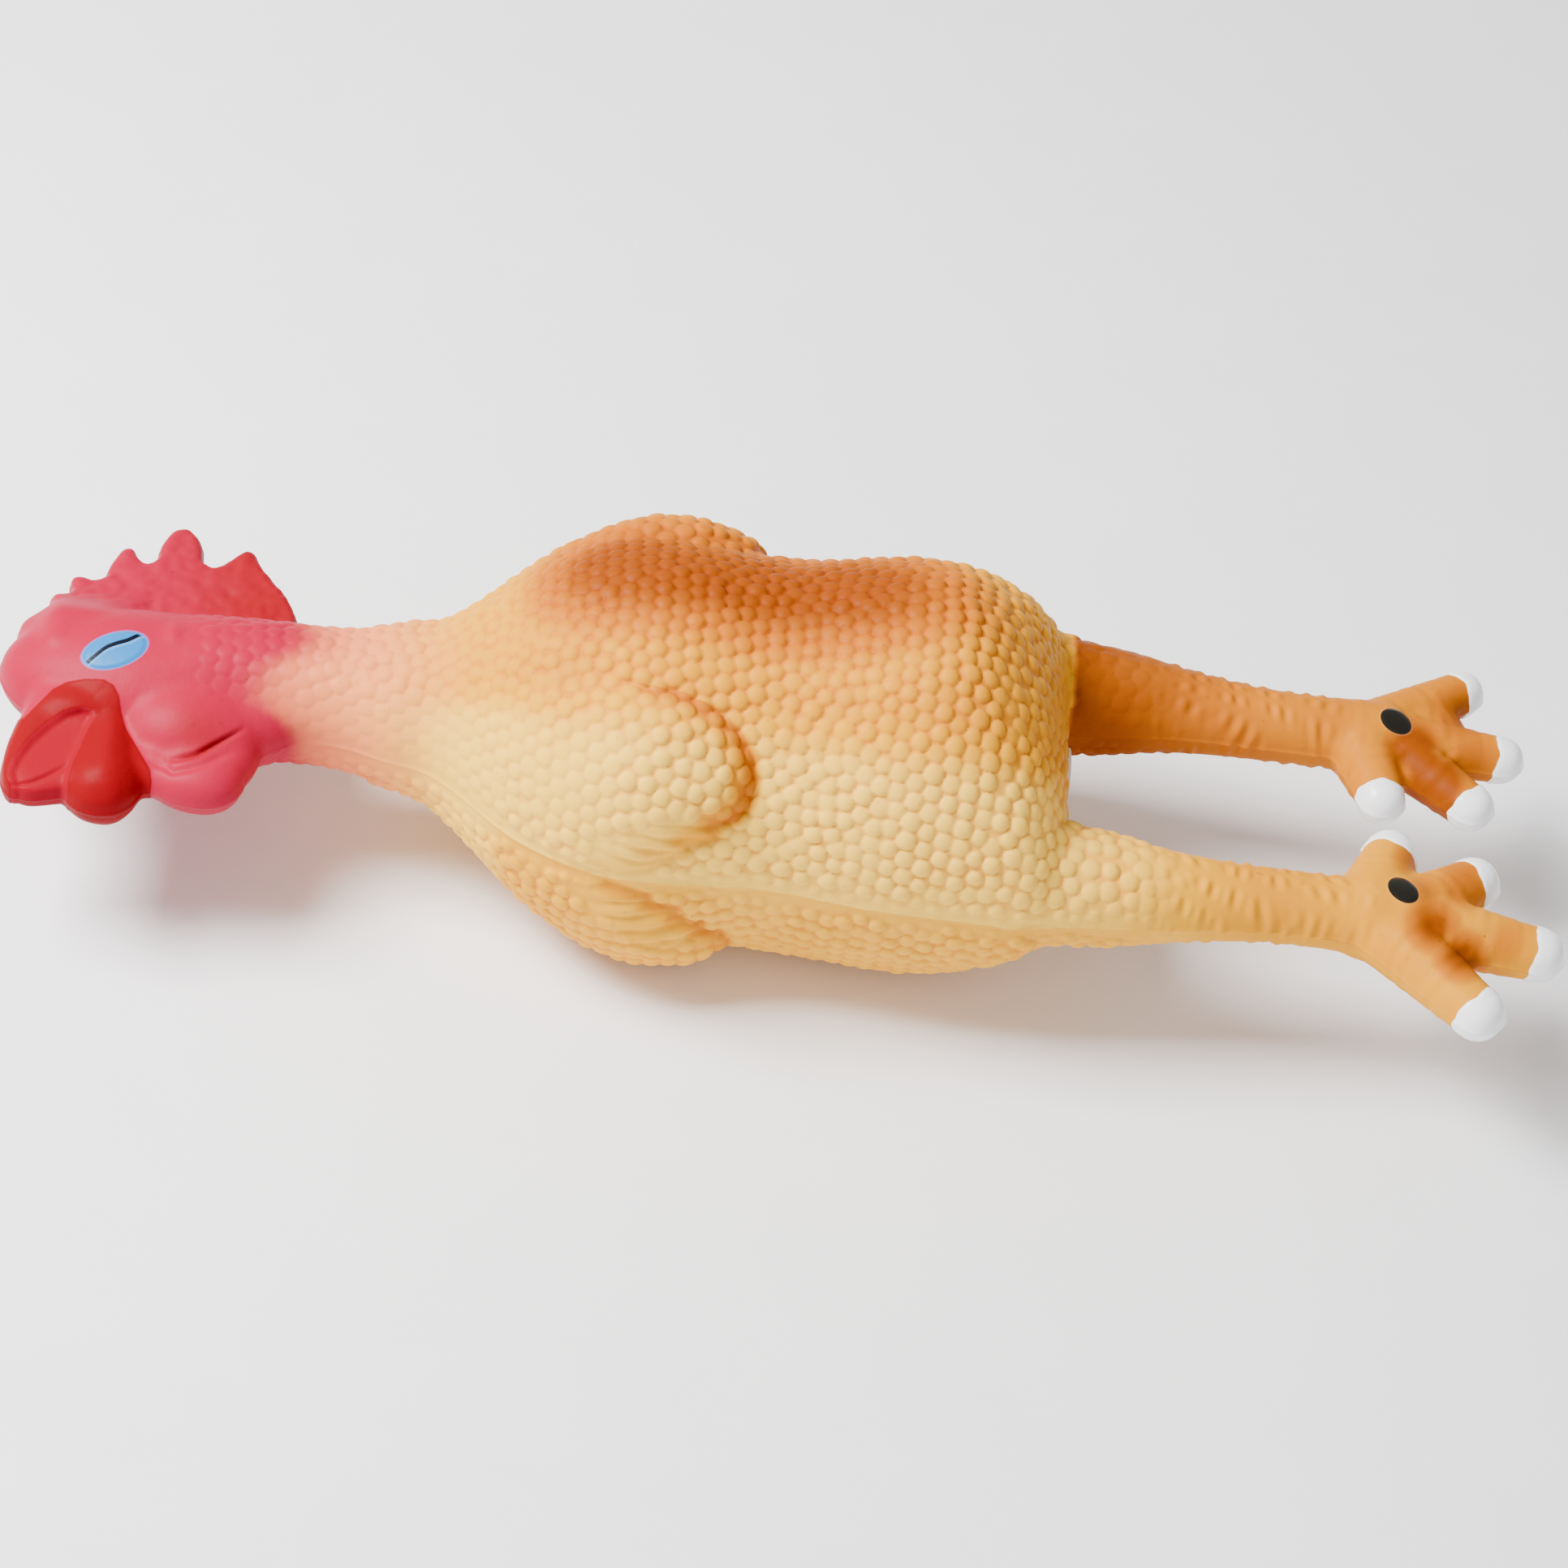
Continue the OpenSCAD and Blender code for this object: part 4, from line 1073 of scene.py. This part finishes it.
def beak_paint(start, colour):
    """Red on beak and wattle, with paler sides of the beak. Returns the colour and where the paint is."""
    red, bare = start.attribute("red"), start.attribute("beak_side")
    on_red = red.between(0.12, -0.12)
    on_beak = on_red * bare.between(0.12, -0.12)
    colour = on_red.tint(colour, RED)
    return on_beak.tint(colour, CORAL), on_red


def eye_paint(start, colour):
    """Blue with a violet rim, and a shut lid's dark line with a glint beside it, returned in the same way."""
    eye, slit = start.attribute("eye"), start.attribute("slit")
    on_eye = eye.between(0.1, -0.1)
    colour = eye.between(0.42, 0.05).tint(colour, RIM)
    colour = on_eye.tint(colour, BLUE)
    colour = (on_eye * abs(slit + 0.9).between(0.5, 0.15) * 0.12).tint(colour, GLINT)
    return (eye.between(-0.1, -0.5) * abs(slit).between(0.64, 0.44)).tint(colour, NAVY), on_eye


def foot_paint(start, colour):
    """White nails and black ovals. Returns the colour and where each of the two paints is."""
    on_nail = start.attribute("nail").between(0.1, -0.1)
    colour = on_nail.tint(colour, WHITE)
    oval = start.attribute("oval")
    colour = (oval.between(0.5, 0.2) * 0.12).tint(colour, HALO)
    on_oval = oval.between(0.08, -0.08)
    return on_oval.tint(colour, BLACK), on_nail, on_oval


def skin_material(name):
    """Satin latex with airbrushed colour and glossy painted parts, all read from the skin's own values."""
    material, start, shader = bare_material(name)
    place = start.node("ShaderNodeTexCoord", out="Object")
    cloud = place.clouds(45.0, 3.0)
    speck = place.clouds(420.0, 4.0)
    colour = latex_colour(start, place, cloud, speck)
    colour, on_red = beak_paint(start, colour)
    colour, on_eye = eye_paint(start, colour)
    colour, on_nail, on_oval = foot_paint(start, colour)
    rough = 0.52 - 0.08 * speck - 0.06 * on_red - 0.24 * on_nail - 0.16 * on_oval - 0.1 * on_eye
    coat = 0.4 * on_nail + 0.15 * on_oval
    grain = start.node("ShaderNodeBump", {}, {"Height": speck, "Strength": 0.16, "Distance": 0.0006})
    feed(shader, {"Base Color": colour, "Roughness": rough, "Coat Weight": coat, "Normal": grain})
    shader.inputs["Coat Roughness"].default_value = 0.16
    shader.inputs["Specular IOR Level"].default_value = SHINE.get(name, PAINT_SHINE)
    return material


def squeaker_material(name, colour, rough):
    """Moulded plastic or film with a faint cloudiness and fine scratches."""
    material, start, shader = bare_material(name)
    place = start.node("ShaderNodeTexCoord", out="Object")
    cloud = place.clouds(160.0, 4.0)
    scratch = place.clouds(900.0, 2.0)
    shown = (cloud.between(0.3, 0.8) * 0.5).tint(colour, CLOUDED, "MULTIPLY")
    bump = start.node("ShaderNodeBump", {}, {"Height": scratch, "Strength": 0.1, "Distance": 0.0002})
    feed(shader, {"Base Color": shown, "Roughness": rough + 0.15 * scratch, "Normal": bump})
    return material


def soft_rounds(co):
    """How many times each point is softened: most at the rump and the cheek, least on comb and body."""
    x, y, z = co.T
    body = np.full(len(co), 4.0)
    rump = np.where((y > 12) & (z > 0), 36, 110) * ramp(x, 60, 12) * ramp(x, 104, -14)
    comb = ramp(y, 13, 3) * ramp(np.abs(z), 9, -3)
    head = mix(26, 7, comb) * ramp(x, -148, -6)
    on_cheek = ramp(x, -184, 6) * ramp(x, -122, -10) * ramp(y, -8, -6)
    cheek = mix(60, 130, ramp(x, -172, 10)) * on_cheek
    on_beak = ramp(x, -180, -6) * ramp(y, -12, -6) * ramp(np.abs(z), 3, 3)
    feet = 34 * ramp(x, 150, 8)
    return np.maximum.reduce([body, rump, head, cheek, 60 * on_beak, feet])


def finished_casting():
    """The skin with all its relief, and the values its materials read."""
    mesh = cut_casting(casting_mesh())
    co = coordinates(mesh)
    co = soften(mesh, co, soft_rounds(co))
    mesh.vertices.foreach_set("co", co.ravel())
    mesh.update()
    normals = vertex_normals(mesh)
    look = Look(co)
    phi = np.arctan2(co[:, 2], np.abs(co[:, 1]))
    pebbles, valley_shade = pebble_field(co)
    ridge = SEAM_RISE * bell(co[:, 2], SEAM_WIDE)
    relief = pebbles + ridge + look.face_relief() + look.foot_relief()
    values = {
        "valley_shade": valley_shade, "spray": look.spray(phi), "pink": look.pink(), "ruddy_and_shade": look.ruddy_and_shade(),
        "red": look.red, "beak_side": look.beak_side, "eye": look.eye, "slit": look.slit,
        "nail": look.nail, "oval": look.oval,
    }
    for name, value in values.items():
        mesh.attributes.new(name, "FLOAT", "POINT").data.foreach_set("value", value.astype(np.float32))
    co = co + normals * relief[:, None]
    co[:, 2] = np.maximum(co[:, 2], BELLY_SQUASH * (co[:, 2] + SEAM_Z) - SEAM_Z)
    mesh.vertices.foreach_set("co", ((co + (0, 0, SEAM_Z)) * MM).ravel())
    mesh.update()
    whole = mesh.attributes.new("whole_normal", "FLOAT_VECTOR", "POINT")
    whole.data.foreach_set("vector", vertex_normals(mesh).ravel())
    return mesh


def face_means(mesh, name):
    """Mean over each face of a value held at its points."""
    value = column(mesh.attributes[name].data, "value", kind=np.float32)
    corners = column(mesh.loops, "vertex_index", kind=np.int64)
    first = column(mesh.polygons, "loop_start", kind=np.int64)
    return np.add.reduceat(value[corners], first) / np.diff(np.append(first, len(corners)))


def piece_faces(mesh):
    """Names of the pieces with the faces of each. A later piece takes its faces from the earlier ones."""
    x, y, z = (column(mesh.polygons, "center", 3) / MM - (0, 0, SEAM_Z)).T
    near = y < 0
    head = x < HEAD_CUT
    red, eye, nail, oval = (face_means(mesh, n) for n in ("red", "eye", "nail", "oval"))
    foot = x > LEG_CUT
    return [
        ("torso_upper", z > 0), ("torso_lower", z <= 0),
        ("neck_base", x < TORSO_CUT), ("neck_top", x < NECK_CUT), ("head", head),
        ("left_thigh", (x > RUMP_CUT) & near), ("right_thigh", (x > RUMP_CUT) & ~near),
        ("left_foot", foot & near), ("right_foot", foot & ~near), ("red_paint", head & (red < 0)),
        ("left_eye_paint", head & (eye < 0) & (z > 0)), ("right_eye_paint", head & (eye < 0) & (z < 0)),
        ("left_nail_paint", foot & near & (nail < 0)), ("right_nail_paint", foot & ~near & (nail < 0)),
        ("left_oval_paint", foot & near & (oval < 0)), ("right_oval_paint", foot & ~near & (oval < 0)),
    ]


def divide(mesh):
    """Divides the skin into pieces, and returns them by name."""
    index = np.zeros(len(mesh.polygons), np.int32)
    for k, (name, belongs) in enumerate(piece_faces(mesh)):
        index[belongs] = k
        mesh.materials.append(bpy.data.materials.new(name))
    mesh.polygons.foreach_set("material_index", index)
    mesh.polygons.foreach_set("use_smooth", np.ones(len(mesh.polygons), bool))
    obj = add_object("skin", mesh)
    bpy.ops.object.select_all(action="DESELECT")
    bpy.context.view_layer.objects.active = obj
    obj.select_set(True)
    bpy.ops.object.mode_set(mode="EDIT")
    bpy.ops.mesh.select_all(action="SELECT")
    bpy.ops.mesh.separate(type="MATERIAL")
    bpy.ops.object.mode_set(mode="OBJECT")
    pieces = {}
    for part in bpy.context.selected_objects:
        label = part.data.materials[0]
        name = label.name
        part.name = part.data.name = name
        bpy.data.materials.remove(label)
        part.data.materials.clear()
        normals = column(part.data.attributes["whole_normal"].data, "vector", 3)
        part.data.normals_split_custom_set_from_vertices(normals.tolist())
        part.data.attributes.remove(part.data.attributes["whole_normal"])
        pieces[name] = part
    return pieces


def at(x, y=0.0):
    """A place at the seam's height, in metres."""
    return x * MM, y * MM, SEAM_Z * MM


def place_pieces(pieces):
    """Gives every piece its finish, attaches it to the one body it follows or else only fixes its place, and
    hides the CAD pieces it stands for.
    """
    latex, paints = ("cream", "orange", "pink"), ("red", "blue", "white", "black")
    names = ["latex_" + colour for colour in latex] + ["paint_" + colour for colour in paints]
    finishes = {name: skin_material(name) for name in names}
    neck_bend = ("torso", "neck", at(NECK_ROOT_X), at(NECK_MID_X))
    head_nod = ("neck", "head", at(NECK_TOP_X), at(HEAD_X))
    plan = {
        "torso_upper": ("latex_cream", "torso", ("torso_skin", "left_wing", "right_wing")),
        "torso_lower": ("latex_cream", "torso", ()),
        "neck_base": ("latex_cream", neck_bend, ("neck_base_fold", "neck_skin")),
        "neck_top": ("latex_pink", head_nod, ("neck_top_fold",)),
        "head": ("latex_pink", "head", ("head_skin", "comb", "cheek_wattle")),
        "red_paint": ("paint_red", "head", ("beak", "red_wattle")),
        "left_eye_paint": ("paint_blue", "head", ("left_eye",)),
        "right_eye_paint": ("paint_blue", "head", ("right_eye",)),
    }
    for side, y in (("left", -1), ("right", 1)):
        hip = ("torso", side + "_leg", at(RUMP_X, y * LEG_Y), at(LEG_X, y * LEG_Y))
        ankle = (side + "_leg", side + "_foot", at(ANKLE_X, y * ANKLE_Y), at(FOOT_X, y * ANKLE_Y))
        plan[side + "_thigh"] = ("latex_cream", hip, (side + "_hip_fold", side + "_leg_skin"))
        plan[side + "_foot"] = ("latex_orange", ankle, (side + "_ankle_fold", side + "_foot_skin"))
        plan[side + "_nail_paint"] = ("paint_white", side + "_foot", (side + "_nails",))
        plan[side + "_oval_paint"] = ("paint_black", side + "_foot", (side + "_foot_spot",))
    for name, (finish, follows, stands_for) in plan.items():
        piece = pieces[name]
        piece.data.materials.append(finishes[finish])
        if isinstance(follows, str):
            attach(piece, follows)
        else:
            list(follows)
            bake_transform(piece)
        if stands_for:
            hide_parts(*stands_for)


def finish_squeaker():
    """Gives the squeaker's solids, which are shown as they are, their plastic and film."""
    moulded = squeaker_material("squeaker_white", PLASTIC, 0.4)
    film = squeaker_material("reed_amber", AMBER, 0.22)
    for node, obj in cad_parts.items():
        if node.startswith("squeaker"):
            obj.data.materials.clear()
            obj.data.materials.append(film if node == "squeaker_reed" else moulded)


def floor_material():
    """Pale paper with hardly any clouding."""
    material, start, shader = bare_material("floor")
    place = start.node("ShaderNodeTexCoord", out="Object")
    cloud = place.clouds(30.0, 3.0)
    shade = cloud.between(0.2, 0.8).tint(FLOOR, FLOOR_DIM)
    feed(shader, {"Base Color": shade})
    shader.inputs["Roughness"].default_value = 0.85
    return material


# The floor's half size, and lamps by name: place and size in metres, and power
FLOOR_HALF = 4
LIGHTS = (("key", (-0.72, -0.05, 1.0), 0.55, 46), ("fill", (0.3, -1.3, 0.9), 1.6, 6))
SKY_STRENGTH = 0.6


def set_stage():
    """A plain pale floor under soft light from the upper left."""
    bm = bmesh.new()
    bmesh.ops.create_grid(bm, x_segments=1, y_segments=1, size=FLOOR_HALF)
    floor = add_object("floor", as_mesh(bm, "floor"))
    floor.data.materials.append(floor_material())
    for name, place, size, power in LIGHTS:
        light = bpy.data.lights.new(name, "AREA")
        light.energy, light.size = power, size
        lamp = add_object(name, light)
        lamp.location = place
        beam = Vector(at(0)) - lamp.location
        lamp.rotation_euler = beam.to_track_quat("-Z", "Y").to_euler()
    world = bpy.data.worlds.new("world")
    bpy.context.scene.world = world
    world.use_nodes = True
    sky = world.node_tree.nodes["Background"].inputs
    sky["Color"].default_value = (1, 1, 1, 1)
    sky["Strength"].default_value = SKY_STRENGTH


set_camera()
place_pieces(divide(finished_casting()))
finish_squeaker()
set_stage()
